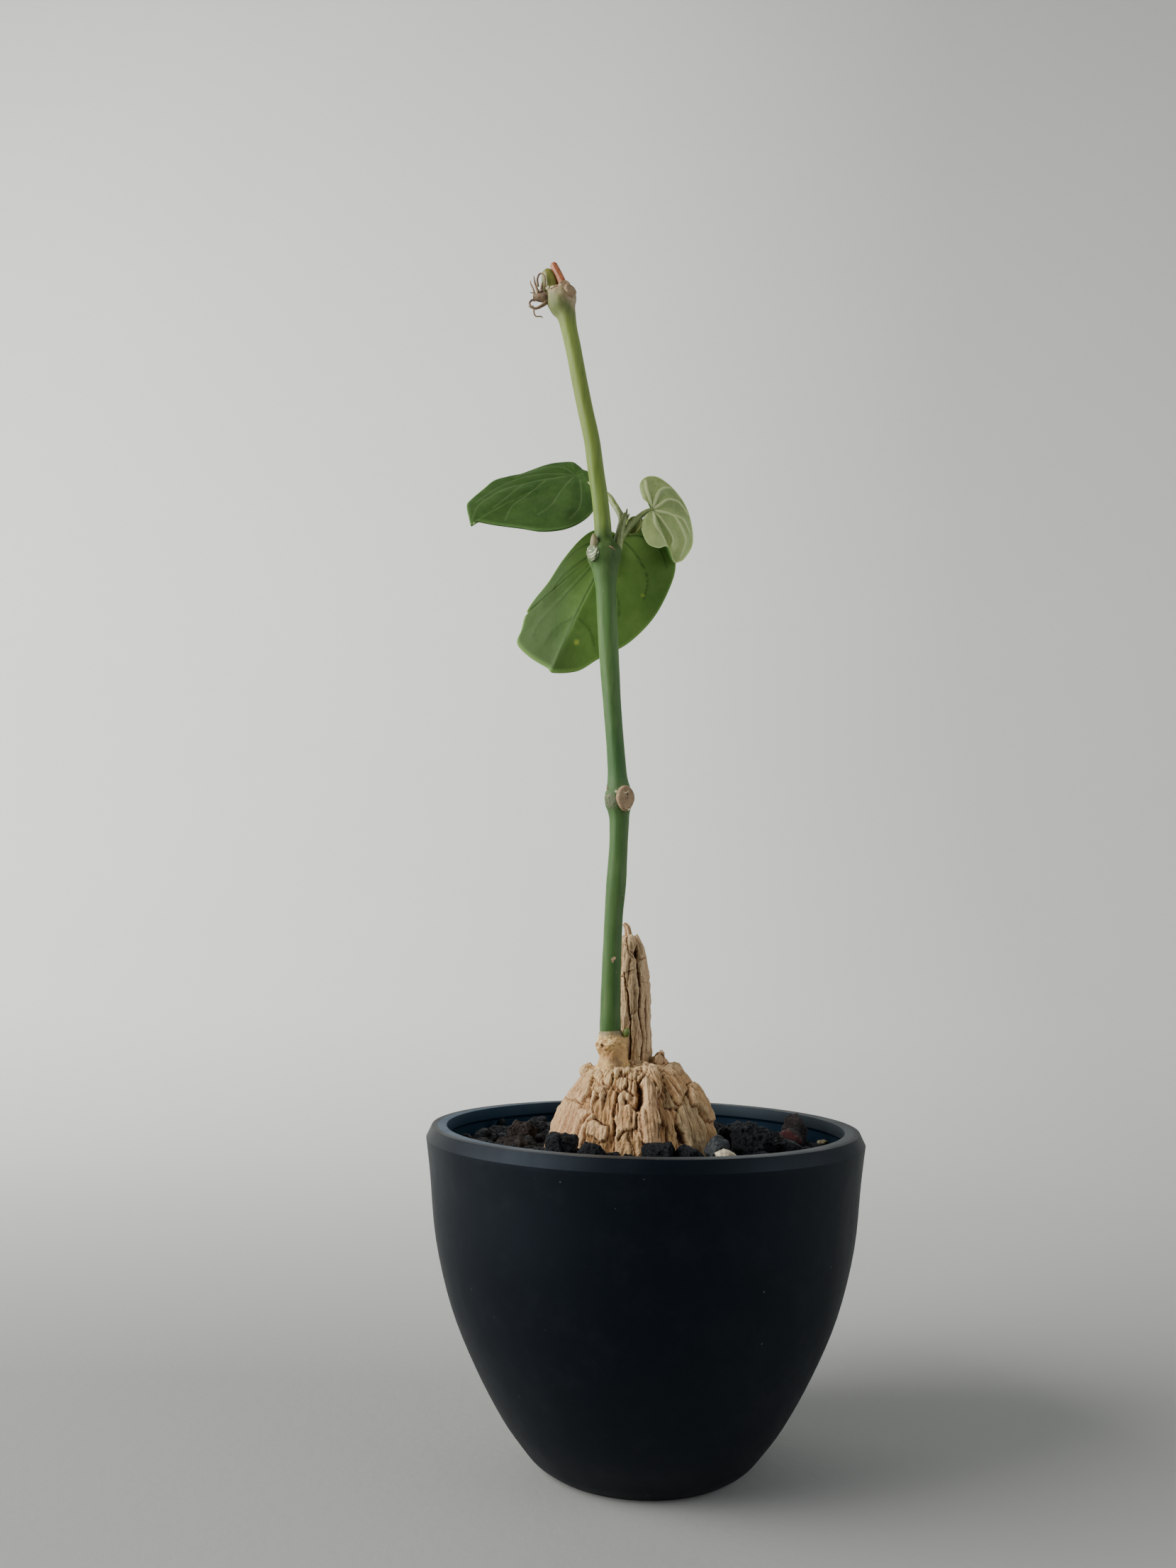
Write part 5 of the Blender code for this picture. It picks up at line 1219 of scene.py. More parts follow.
# Two colours, the painted shade of the pits, the roughness, the scale of the pores and how bumpy
# it is
STONE_LOOKS = {
    "lava_black": ((0.004, 0.0053, 0.0074), (0.0145, 0.0175, 0.022),
                   (0.001, 0.0012, 0.0016), 0.5, 1500.0, 1.0),
    "lava_brown": ((0.016, 0.012, 0.012), (0.05, 0.038, 0.034),
                   (0.006, 0.004, 0.004), 0.78, 1300.0, 0.9),
    "lava_grey": ((0.014, 0.014, 0.016), (0.046, 0.036, 0.034),
                  (0.008, 0.007, 0.007), 0.7, 1500.0, 0.7),
    "lava_red": ((0.01, 0.009, 0.009), (0.034, 0.026, 0.025),
                 (0.005, 0.004, 0.004), 0.6, 1400.0, 0.6, True),
    "pebble": ((0.013, 0.016, 0.018), (0.034, 0.038, 0.041),
               (0.01, 0.012, 0.014), 0.48, 1700.0, 0.25),
    "pale_chip": ((0.33, 0.285, 0.195), (0.5, 0.435, 0.315),
                  (0.3, 0.24, 0.16), 0.75, 1200.0, 0.3),
    "tan_chip": ((0.12, 0.1, 0.065), (0.34, 0.3, 0.19),
                 (0.08, 0.062, 0.04), 0.75, 1200.0, 0.4),
}
# Two colours
SCAR_LOOKS = {
    "scar_tan": ((0.2, 0.125, 0.062), (0.35, 0.245, 0.14)),
    "scar_dark": ((0.04, 0.026, 0.015), (0.08, 0.052, 0.03)),
    "scar_cream": ((0.45, 0.36, 0.21), (0.8, 0.72, 0.5)),
}
# Two colours and the roughness
GROWTH_LOOKS = {
    "stub_green": ((0.11, 0.125, 0.018), (0.22, 0.215, 0.038), 0.5),
    "orange_stub": ((0.29, 0.078, 0.03), (0.5, 0.18, 0.07), 0.5),
    "bud": ((0.11, 0.105, 0.04), (0.24, 0.205, 0.092), 0.6),
    "young_growth": ((0.08, 0.13, 0.02), (0.17, 0.21, 0.045), 0.5),
    "shoot": ((0.13, 0.15, 0.05), (0.26, 0.28, 0.11), 0.6),
    "petiole": ((0.15, 0.2, 0.06), (0.27, 0.33, 0.12), 0.5),
    "dried_flower": ((0.08, 0.042, 0.034), (0.3, 0.21, 0.11), 0.8),
}
# Two greens, the veins, how plain veins and net are, the roughness, spots and a side with painted
# shade
PALE_UNDERSIDE = ((0.12, 0.2, 0.06), (0.17, 0.25, 0.085), (0.3, 0.38, 0.17),
                  0.8, 0.3, 0.55)
LEAF_LOOKS = {
    "leaf_left_top": ((0.024, 0.066, 0.01), (0.044, 0.095, 0.016), (0.13, 0.19, 0.07),
                      0.45, 0.06, 0.55),
    "leaf_left_back": PALE_UNDERSIDE,
    "leaf_large_top": ((0.076, 0.16, 0.023), (0.112, 0.204, 0.041), (0.03, 0.07, 0.01),
                       0.8, 0.05, 0.66, YELLOW_SPOTS, ("across", -0.0165, -0.027, 0.62)),
    "leaf_large_back": PALE_UNDERSIDE,
    "leaf_right_top": ((0.045, 0.125, 0.018), (0.08, 0.18, 0.035), (0.12, 0.21, 0.07),
                       0.7, 0.3, 0.42),
    "leaf_right_back": ((0.3, 0.385, 0.14), (0.45, 0.54, 0.22), (0.64, 0.69, 0.37),
                        0.6, 0.15, 0.6, (), ("height", 0.244, 0.256, 0.35)),
    "young_leaf_top": ((0.18, 0.23, 0.07), (0.26, 0.31, 0.1), (0.28, 0.34, 0.12),
                       0.6, 0.2, 0.5),
    "young_leaf_back": ((0.22, 0.27, 0.09), (0.3, 0.35, 0.12), (0.34, 0.4, 0.17),
                        0.6, 0.2, 0.5),
}


def all_finishes():
    """Every finish of the plant and its pot, by name."""
    finishes = {
        "pot_plastic": make_pot_finish(), "potting_mix": make_mix_finish(),
        "cork_bark": make_bark_finish(), "neck_cork": make_collar_finish(),
        "green_stem": make_stem_finish(), "scar_pale": make_ringed_finish(),
    }
    for make, looks in (
        (make_stone_finish, STONE_LOOKS), (make_scar_finish, SCAR_LOOKS),
        (make_growth_finish, GROWTH_LOOKS), (make_leaf_finish, LEAF_LOOKS),
    ):
        for name, values in looks.items():
            finishes[name] = make(name, *values)
    return finishes


# Pot

def radius_on(profile, height):
    """The radius of a profile at a height."""
    for ends in zip(profile, profile[1:]):
        (low_radius, low), (high_radius, high) = sorted(ends, key=lambda end: end[1])
        if low <= height <= high and high > low:
            return low_radius + (high_radius - low_radius) * (height - low) / (high - low)
    return profile[-1][0]


def cavity_profile(levels):
    """The pot's inner side from the rim down to the floor."""
    lip_bottom = RIM_HEIGHT - LIP_DEPTH
    return [
        (LIP_INNER_RADIUS, RIM_HEIGHT), (LIP_INNER_RADIUS, lip_bottom),
        (LIP_INNER_RADIUS + LIP_STEP, lip_bottom - LIP_UNDERCUT),
        *((radius_on(POT_WALL, level) - WALL, level) for level in levels),
        (radius_on(POT_WALL, 0.005) - WALL - FLOOR_FILLET, FLOOR_TOP),
    ]


def cavity_radius(height):
    """The pot's inner radius at a height, as the solid has it."""
    return radius_on(cavity_profile(SOLID_CAVITY_LEVELS), height)


def make_pot(finishes):
    """Pot raised ring by ring, with a chamfered rim, an inner lip and drilled drain holes."""
    profile = smooth_through(POT_WALL, 4)
    profile += [(RIM_CHAMFER_TOP, RIM_HEIGHT), *cavity_profile(CAVITY_LEVELS)]
    profile += [
        (DRAIN_RADIUS, FLOOR_TOP), (DRAIN_RADIUS, FOOT_RECESS),
        (FOOT_RING_RADIUS - 0.001, FOOT_RECESS), (FOOT_RING_RADIUS, 0.0),
    ]
    pot = turned_by_rings("plastic_pot", profile, POT_SIDES)
    drills = []
    for index in range(DRAIN_COUNT):
        angle = 2 * math.pi * index / DRAIN_COUNT
        place = (DRAIN_RING_RADIUS * math.cos(angle), DRAIN_RING_RADIUS * math.sin(angle))
        pick(None)
        bpy.ops.mesh.primitive_cylinder_add(
            vertices=40, radius=DRAIN_RADIUS, depth=4 * FLOOR_TOP, location=(*place, FLOOR_TOP),
        )
        drills.append(added("drill_%d" % index))
    drill = join("drills", drills)
    modify(pot, "drain_holes", "BOOLEAN", operation="DIFFERENCE", solver="EXACT", object=drill)
    modify(pot, "soft_edges", "BEVEL", width=0.00035, segments=3, limit_method="ANGLE",
           angle_limit=math.radians(24))
    bpy.data.objects.remove(drill)
    smooth(pot, 30)
    wear(pot, finishes["pot_plastic"])
    stand_for(pot, "pot")


# Stones and gravel

def hull_stone(name, rng, place, width, top, tall, blocky=False):
    """The angular form of a stone: the hull of a few points, as the solid has it."""
    height = width * tall
    centre = Vector((*place, top - height / 2))
    turn = rng.uniform(0.0, math.pi)
    points = []
    for index in range(STONE_POINTS):
        level = 1.0 - 2.0 * (index + 0.5) / STONE_POINTS
        angle = index * GOLDEN_ANGLE + turn + rng.uniform(-0.35, 0.35)
        reach = math.sqrt(1.0 - level * level) * rng.uniform(0.86, 1.12)
        rise = level * rng.uniform(0.94, 1.0)
        if blocky:
            reach = max(reach, 0.9)
            rise = min(max(rise * 1.5, -1.0), 1.0) * rng.uniform(0.9, 1.0)
        point = centre + Vector((
            reach * math.cos(angle) * (width / 2),
            reach * math.sin(angle) * (width / 2 * 0.92),
            rise * (height / 2),
        ))
        far = math.hypot(point.x, point.y)
        limit = cavity_radius(min(max(point.z, BED_BOTTOM), RIM_HEIGHT)) - 3 * GAP
        limit = min(limit, LIP_INNER_RADIUS - 2 * GAP)
        if point.z > MIX_TOP and far > limit:
            point.x *= limit / far
            point.y *= limit / far
        points.append(point)
    return hull(name, points)


def weather(item, voxel, amount, pit_size, pit_depth, seed, grain=0.0):
    """Rounds a stone's edges on a fine even mesh, then works lumps and bubble pits into it."""
    modify(item, "even_mesh", "REMESH", mode="VOXEL", voxel_size=voxel)
    modify(item, "worn_edges", "SMOOTH", factor=0.5, iterations=1)
    chip_size = 0.0023 + 0.0004 * (seed % 3)
    shift = Vector((seed * 1.7, seed * 0.9, seed * 2.3))

    def worn(vertex):
        place = vertex.co
        lump = noise.noise(place * 330.0 + shift) * 0.55
        lump += noise.noise(place * 800.0 + shift) * 0.35
        lump += noise.noise(place * 1700.0 + shift) * 0.18
        distances, _ = noise.voronoi(place / pit_size + shift)
        pit = max(0.0, 1.0 - distances[0] / 0.52)
        pit = pit * pit * (3.0 - 2.0 * pit)
        chip, _ = plates(place + shift * 0.01, chip_size, 1.0, 0.00034, 0.00012, 0.07)
        nearest, _ = noise.voronoi(place / 0.0015 + shift)
        knob = max(0.0, 1.0 - (nearest[0] / 0.62) ** 2)
        relief = amount * (0.62 * lump + 0.3) + chip - pit_depth * pit + grain * (knob - 0.4)
        # the crest mark: where the finish paints highlights, high on lumps and low in pits
        return place + vertex.normal * relief, held(0.5 + 0.5 * lump - pit)

    reshape(item, worn, ("crest",))


def reach_in(rng, inner, outer):
    """A distance from the axis, drawn so that a ring fills evenly."""
    return math.sqrt(rng.uniform(inner ** 2, outer ** 2))


def bed_stones():
    """Places of the black stones: the named ones, then a seeded fill of the whole ring."""
    rng = random.Random(STONE_SEED)
    places = list(BLACK_STONES)
    taken = [(x, y, width) for x, y, width, _ in BLACK_STONES]
    taken += [metres(place[:3]) for _, _, _, place, _, _, _ in COLOURED_STONES]
    for _ in range(STONE_TRIES):
        width = rng.uniform(STONE_SMALLEST, STONE_LARGEST)
        angle = rng.uniform(0.0, 2 * math.pi)
        reach = reach_in(rng, *STONE_REACH)
        x = reach * math.cos(angle)
        y = reach * math.sin(angle)
        top = rng.uniform(*STONE_TOPS)
        from_tuber = math.hypot(x - CAUDEX_AXIS[0], y - CAUDEX_AXIS[1])
        if from_tuber < TUBER_FOOT + width * 0.42 or reach > STONE_LIMIT - width * 0.4:
            continue
        if any(math.hypot(x - a, y - b) < 0.39 * (width + c) for a, b, c in taken):
            continue
        taken.append((x, y, width))
        places.append((x, y, width, top))
    return places


def make_grit(finishes):
    """Small crumbs of lava that fill the joints between the stones."""
    rng = random.Random(GRIT_SEED)
    crumbs = []
    for index in range(GRIT_COUNT):
        size = rng.uniform(*GRIT_SIZES)
        angle = rng.uniform(0.0, 2 * math.pi)
        reach = reach_in(rng, *GRIT_REACH)
        pick(None)
        bpy.ops.mesh.primitive_ico_sphere_add(
            subdivisions=2, radius=size,
            location=(reach * math.cos(angle), reach * math.sin(angle),
                      rng.uniform(*(BED_TOP + lift for lift in GRIT_LIFTS))),
            rotation=(rng.uniform(0, 3), rng.uniform(0, 3), rng.uniform(0, 3)),
            scale=(1.0, rng.uniform(0.6, 0.9), rng.uniform(0.5, 0.8)),
        )
        crumb = added("crumb_%d" % index)
        seed = Vector((index * 3.1, 0.0, 0.0))
        for vertex in crumb.data.vertices:
            push = 0.28 * size * noise.noise(vertex.co * 900.0 + seed)
            vertex.co += vertex.normal * push
        crumbs.append(crumb)
    grit = join("lava_grit", crumbs)
    # an even crest mark, so the finish paints a faint highlight over every crumb
    store(grit, "crest", 0.4)
    smooth(grit, 35)
    wear(grit, finishes["lava_black"])
    stand_for(grit, "lava_gravel")


def make_bed(finishes):
    """The gritty floor of the gravel, from the tuber out to the pot's wall."""
    outer = cavity_radius(BED_TOP) - 3 * GAP

    def place(column, row):
        angle = 2 * math.pi * (column % BED_COLUMNS) / BED_COLUMNS
        reach = BED_INNER_RADIUS + (outer - BED_INNER_RADIUS) * row / BED_ROWS
        point = Vector((reach * math.cos(angle), reach * math.sin(angle), BED_TOP))
        lift = 0.0007 * noise.noise(point * 260.0) + 0.0006 * noise.noise(point * 640.0)
        point.z += lift - 0.0002
        # the crest mark, where the finish paints highlights, rises with the lift
        return point, held(0.4 + lift * 500.0)

    bed = shaped_grid("lava_bed", BED_COLUMNS, BED_ROWS, place, ("crest",))
    tidy_mesh(bed)
    modify(bed, "depth", "SOLIDIFY", thickness=BED_TOP - BED_BOTTOM - 0.0012, offset=-1.0)
    smooth(bed, 60)
    wear(bed, finishes["lava_black"])
    stand_for(bed, "lava_gravel")


def make_gravel(finishes):
    """The black lava stones, each a weathered copy of the solid's stone."""
    rng = random.Random(STONE_SEED + 1)
    front = []
    back = []
    for index, (x, y, width, top) in enumerate(bed_stones()):
        height = max(STONE_FLATNESS * width, top - BED_TOP + STONE_SUNK)
        height = min(height, top - BED_BOTTOM - 3 * GAP)
        stone = hull_stone("stone_%d" % index, rng, (x, y), width, top, height / width,
                           index in BLOCKY_STONES)
        is_named = index < len(BLACK_STONES)
        grain = 0.0006 if index == GRAINY_STONE else 0.0002
        weather(stone, FINE_VOXEL if is_named else COARSE_VOXEL, 0.00055, 0.001, 0.0004,
                index + 1, grain)
        (front if is_named else back).append(stone)
    for name, stones in (("lava_stones_front", front), ("lava_stones_back", back)):
        gravel = join(name, stones)
        smooth(gravel)
        wear(gravel, finishes["lava_black"])
        stand_for(gravel, "lava_gravel")


def make_coloured_stones(finishes):
    """The brown, tall, red, grey and pale stones, each its own piece."""
    for index, (name, slot, look, place, tall, amount, pits) in enumerate(COLOURED_STONES):
        x, y, width, top = metres(place)
        stone = hull_stone(name + "_form", random.Random(name), (x, y), width, top, tall)
        weather(stone, FINE_VOXEL, *metres((amount, 1.2, pits)), 60 + index)
        smooth(stone)
        wear(stone, finishes[look])
        stand_for(stone, name)


# Tuber, stump and neck

def caudex_profile():
    """The tuber's envelope as a smooth profile, with its length up from the soil line."""
    curve = smooth_through(CAUDEX_OUTSIDE, 60)
    lengths = [0.0]
    for (r0, z0), (r1, z1) in zip(curve, curve[1:]):
        lengths.append(lengths[-1] + math.hypot(r1 - r0, z1 - z0))
    soil = next(
        length for (_, height), length in zip(curve, lengths) if height <= SOIL_LEVEL
    )
    return [(r, z, soil - length) for (r, z), length in zip(curve, lengths)]


def bark_slabs():
    """Every slab: its outline, how far it stands out, and how it leans across and upwards."""
    rng = random.Random(SLAB_SEED)
    slabs = [
        (outline, out / 1000, lean, rng.uniform(-0.03, 0.03), tone)
        for outline, out, lean, tone in FRONT_SLABS
    ]
    pitch = (BACK_LAST - BACK_FIRST) / BACK_COLUMNS
    for column in range(BACK_COLUMNS):
        for low, high in BACK_LEVELS:
            middle = BACK_FIRST + pitch * (column + 0.5) + rng.uniform(-3, 3)
            wide = pitch * rng.uniform(0.5, 0.66)
            narrow = wide * rng.uniform(0.65, 1.0)
            top = high + rng.uniform(-1.8, 1.2)
            outline = [
                (middle - wide, low), (middle + wide, low + rng.uniform(-0.5, 1.5)),
                (middle + wide * rng.uniform(0.8, 1.1), (low + high) / 2),
                (middle + narrow, top - rng.uniform(0.0, 2.0)),
                (middle + rng.uniform(-3, 3), top), (middle - narrow, top - rng.uniform(0, 2.5)),
                (middle - wide * rng.uniform(0.8, 1.1), (low + high) / 2),
            ]
            slabs.append((outline, rng.uniform(0.2, 1.5) / 1000, rng.uniform(-0.1, 0.1),
                          rng.uniform(-0.05, 0.05), rng.uniform(0.05, 0.9)))
    return slabs


def slab_heights(angles, ups, radii, warp_across, warp_up, slabs, edge):
    """The uppermost slab at every point of a grid: its height and tone, and the way to an edge.

    Each slab reaches a little over its outline, so neighbours overlap like shingles.
    """
    height = np.zeros(warp_across.shape)
    tones = np.full(warp_across.shape, 0.5)
    border = np.full(warp_across.shape, FAR)
    reach = radii[:, None]
    for outline, out, lean_across, lean_up, tone in slabs:
        middle = sum(angle for angle, _ in outline) / len(outline)
        middle_up = sum(up for _, up in outline) / len(outline) / 1000
        from_middle = (angles - math.radians(middle) + math.pi) % (2 * math.pi) - math.pi
        near = np.abs(from_middle) < math.radians(75)
        corners = []
        for angle, up in outline:
            turn = math.radians(angle - middle) - from_middle[near]
            across = turn[None, :] * reach + warp_across[:, near]
            corners.append((across, (up / 1000 - ups)[:, None] + warp_up[:, near]))
        distance = np.full(corners[0][0].shape, FAR)
        inside = np.zeros(distance.shape, bool)
        for (x0, y0), (x1, y1) in zip(corners, corners[1:] + corners[:1]):
            distance = np.minimum(distance, way_to_line(x0, y0, x1 - x0, y1 - y0))
            run_y = y1 - y0
            slope = np.where(np.abs(run_y) < 1e-12, 1e-12, run_y)
            inside ^= ((y0 > 0) != (y1 > 0)) & (x0 - y0 * (x1 - x0) / slope > 0)
        depth = np.where(inside, distance, -distance)
        rise = np.clip((depth + 0.8 * edge) / edge, 0, 1) ** 0.6
        belly = np.clip(depth / 0.0014, 0, 1) ** 0.7
        level = out + lean_across * from_middle[near][None, :] * reach
        level = (level + lean_up * (ups - middle_up)[:, None]) * (0.88 * rise + 0.12 * belly)
        above = level > height[:, near]
        height[:, near] = np.where(above, level, height[:, near])
        tones[:, near] = np.where(above, tone, tones[:, near])
        border[:, near] = np.minimum(border[:, near], distance)
    return height, tones, border


def way_to_line(x0, y0, run_x, run_y):
    """Distance from every point of a grid to a short line, given from the point itself."""
    share = np.clip(-(x0 * run_x + y0 * run_y) / (run_x ** 2 + run_y ** 2 + 1e-14), 0, 1)
    return np.hypot(x0 + share * run_x, y0 + share * run_y)


def groove_depths(angles, ups, radii, warp_across, warp_up, grooves):
    """How deep the drawn cracks and hollows cut in at every point of a grid."""
    deepest = np.zeros(warp_across.shape)
    reach = radii[:, None]
    for width, depth, route in grooves:
        gap = np.full(deepest.shape, FAR)
        for (angle, up), (next_angle, next_up) in zip(route, route[1:]):
            turn = (math.radians(angle) - angles + math.pi) % (2 * math.pi) - math.pi
            x0 = turn[None, :] * reach + warp_across
            y0 = (up / 1000 - ups)[:, None] + warp_up
            run_x = math.radians(next_angle - angle) * reach
            gap = np.minimum(gap, way_to_line(x0, y0, run_x, (next_up - up) / 1000))
        deepest = np.maximum(deepest, depth / 1000 * np.exp(-(gap * 1000 / width) ** 2))
    return deepest


def spread(field, reach):
    """The field averaged over a square window; its columns close on themselves."""
    window = 2 * reach + 1
    across = sum(np.roll(field, step, axis=1) for step in range(-reach, reach + 1)) / window
    padded = np.pad(across, ((reach, reach), (0, 0)), mode="edge")
    return sum(padded[step:step + len(field)] for step in range(window)) / window


def hollow_marks(relief):
    """How deep in a crack each point lies, and how far out on a crest, from 0 to 1."""
    wide = spread(relief, 7) - relief
    narrow = spread(relief, 2) - relief
    crevice = np.clip(wide / 0.00085, 0, 1) * 0.75 + np.clip(narrow / 0.00022, 0, 1) * 0.45
    crest = np.clip(-wide / 0.0007, 0, 1) * 0.6 + np.clip(-narrow / 0.00016, 0, 1) * 0.4
    return np.clip(crevice, 0, 1), np.clip(crest, 0, 1)


def on_cells(place, size, tall):
    """A place measured in plates of a size, each so many times as tall as it is wide."""
    return Vector((place[0] / size, place[1] / size, place[2] / (size * tall)))


def plates(place, size, tall, step, gap_depth, gap_width):
    """Small angular plates of cork: each stands out by its own amount, with joints between."""
    at = on_cells(place, size, tall)
    distances, middles = noise.voronoi(at)
    own = noise.noise(middles[0] * 5.3) * step * 1.6
    lean = (at - middles[0]).dot(noise.noise_vector(middles[0] * 3.1)) * step * 2.2
    joint = hump(distances[1] - distances[0], gap_width)
    return own + lean - gap_depth * joint, joint


def plate_shift(place, kinds):
    """A sideways shift that is the same all over a small plate, so that edges run jagged."""
    shift = Vector()
    for size, tall, amount in kinds:
        middles = noise.voronoi(on_cells(place, size, tall))[1]
        shift += noise.noise_vector(middles[0] * 4.7) * amount
    return shift


def fine_bark(place, size):
    """Plates in two sizes, upright ridges and fibres, laid out on the unrolled surface."""
    x, y, up = place
    large, _ = plates(place, 0.0032 * size, 3.0, 0.00024 * size, 0.00012 * size, 0.08)
    small, _ = plates(place, 0.0012 * size, 4.0, 0.00012 * size, 0.0001 * size, 0.1)
    sway = noise.noise_vector(Vector((x * 160, y * 160, up * 120))) * 0.0009
    ridge = 1.0 - abs(noise_at((x + sway.x) * 480, (y + sway.y) * 480, up * 60)) * 2.6
    fibre = noise_at((x + sway.x) * 1300, (y + sway.y) * 1300, up * 150)
    hair = noise_at(x * 2600, y * 2600, up * 260)
    broken = noise_at(x * 650, y * 650, up * 650)
    return (large + small + 0.00034 * size * ridge + 0.00042 * size * fibre + 0.00022 * hair
            + 0.00018 * broken)


def edge_fields(angles, ups, radius, kinds, upright, crack_scale):
    """How far the slabs' edges are pushed across and up, and how open the cracks are."""
    fields = np.zeros((3, len(ups), len(angles)))
    for row, up in enumerate(ups):
        if up < BARK_FOOT:
            continue
        for column, angle in enumerate(angles):
            place = (radius * math.sin(angle), radius * math.cos(angle), up)
            shift = plate_shift(place, kinds)
            crack = held(0.5 + 1.7 * noise.noise(Vector(place) * crack_scale))
            fields[:, row, column] = shift.x, shift.z * upright, crack
    return fields


def bark_piece(name, xs, ys, zs, marks, finishes, ends=None):
    """A bark-covered body from the grids of its points and marks, and maybe of its end points."""
    rows, columns = xs.shape
    fields = [xs, ys, zs, *marks]
    if ends is not None:
        fields = [np.vstack([np.full(columns, first), field, np.full(columns, last)])
                  for field, first, last in zip(fields, *ends)]
        rows += 2

    def place_of(column, row):
        x, y, z, *values = (field[row, column % columns] for field in fields)
        return Vector((x, y, z)), *values

    item = shaped_grid(name, columns, rows - 1, place_of, ("crevice", "crest", "tone"))
    tidy_mesh(item)
    smooth(item)
    wear(item, finishes["cork_bark"])
    stand_for(item, "caudex")


def dome_stations():
    """Rows of the dome, close together above the soil: radius, height, length up, slope."""
    profile = caudex_profile()
    stations = []
    previous = None
    for index, (radius, height, up) in enumerate(profile):
        step = BARK_STEP if up > -0.003 else 0.003
        is_pole = radius < 1e-6
        if previous is not None and previous - up < step and not is_pole:
            continue
        previous = up
        before = profile[max(index - 1, 0)]
        after = profile[min(index + 1, len(profile) - 1)]
        slope = Vector((after[0] - before[0], 0.0, after[1] - before[1])).normalized()
        stations.append((radius, height, up, -slope.z, slope.x))
    return np.array(stations).T


def make_caudex_dome(finishes):
    """The tuber: a bark-covered dome above the gravel and a smooth taproot below it."""
    radii, heights, ups, out_x, out_z = dome_stations()
    angles = 2 * math.pi * np.arange(BARK_COLUMNS) / BARK_COLUMNS
    base_x = CAUDEX_AXIS[0] + radii[:, None] * np.sin(angles)
    base_y = CAUDEX_AXIS[1] - radii[:, None] * np.cos(angles)
    warp_across, warp_up, open_crack = edge_fields(
        angles, ups, DOME_UNROLLED, DOME_JAGS, 1.0, 190.0)
    fine = np.zeros(base_x.shape)
    for row, column in np.ndindex(fine.shape):
        if ups[row] < BARK_FOOT:
            continue
        by_top = held((0.0128 - radii[row]) / 0.003)
        if by_top < 1.0:
            place = (DOME_UNROLLED * math.sin(angles[column]),
                     DOME_UNROLLED * math.cos(angles[column]), ups[row])
            fine[row, column] += (1.0 - by_top) * fine_bark(place, 1.0)
        if by_top > 0.0:
            at = (base_x[row, column], base_y[row, column], heights[row])
            crumb, _ = plates(at, 0.0019, 1.0, 0.00042, 0.0005, 0.1)
            fine[row, column] += by_top * crumb
    lifted = [(outline, out + SLAB_LIFT, *rest) for outline, out, *rest in bark_slabs()]
    grid = (angles, ups, np.maximum(radii, 0.008), warp_across, warp_up)
    height, tones, border = slab_heights(*grid, lifted, DOME_EDGE)
    height = np.maximum(height, SLAB_FLOOR)
    deep = groove_depths(*grid, GROOVES)
    seam = np.exp(-(border / DOME_SEAM) ** 2) * open_crack
    relief = height - RECESS + fine - deep - DOME_SEAM_DEPTH * seam
    # the marks where the bark's finish paints shade into crevices and highlights onto crests
    crevice, crest = hollow_marks(relief)
    low = np.clip(1.0 - (height - 0.8 * deep) / 0.0013, 0, 1)
    # low recesses and seams also take the crevice's painted shade
    crevice = np.clip(crevice + 0.3 * low + 0.35 * seam, 0, 1)
    relief *= (np.clip((ups + 0.007) / 0.005, 0, 1) * np.clip(radii / 0.006, 0, 1))[:, None]
    xs = base_x + out_x[:, None] * relief * np.sin(angles)
    ys = base_y - out_x[:, None] * relief * np.cos(angles)
    zs = heights[:, None] + out_z[:, None] * relief
    bark_piece("caudex_bark", xs, ys, zs, (crevice, crest, tones), finishes)


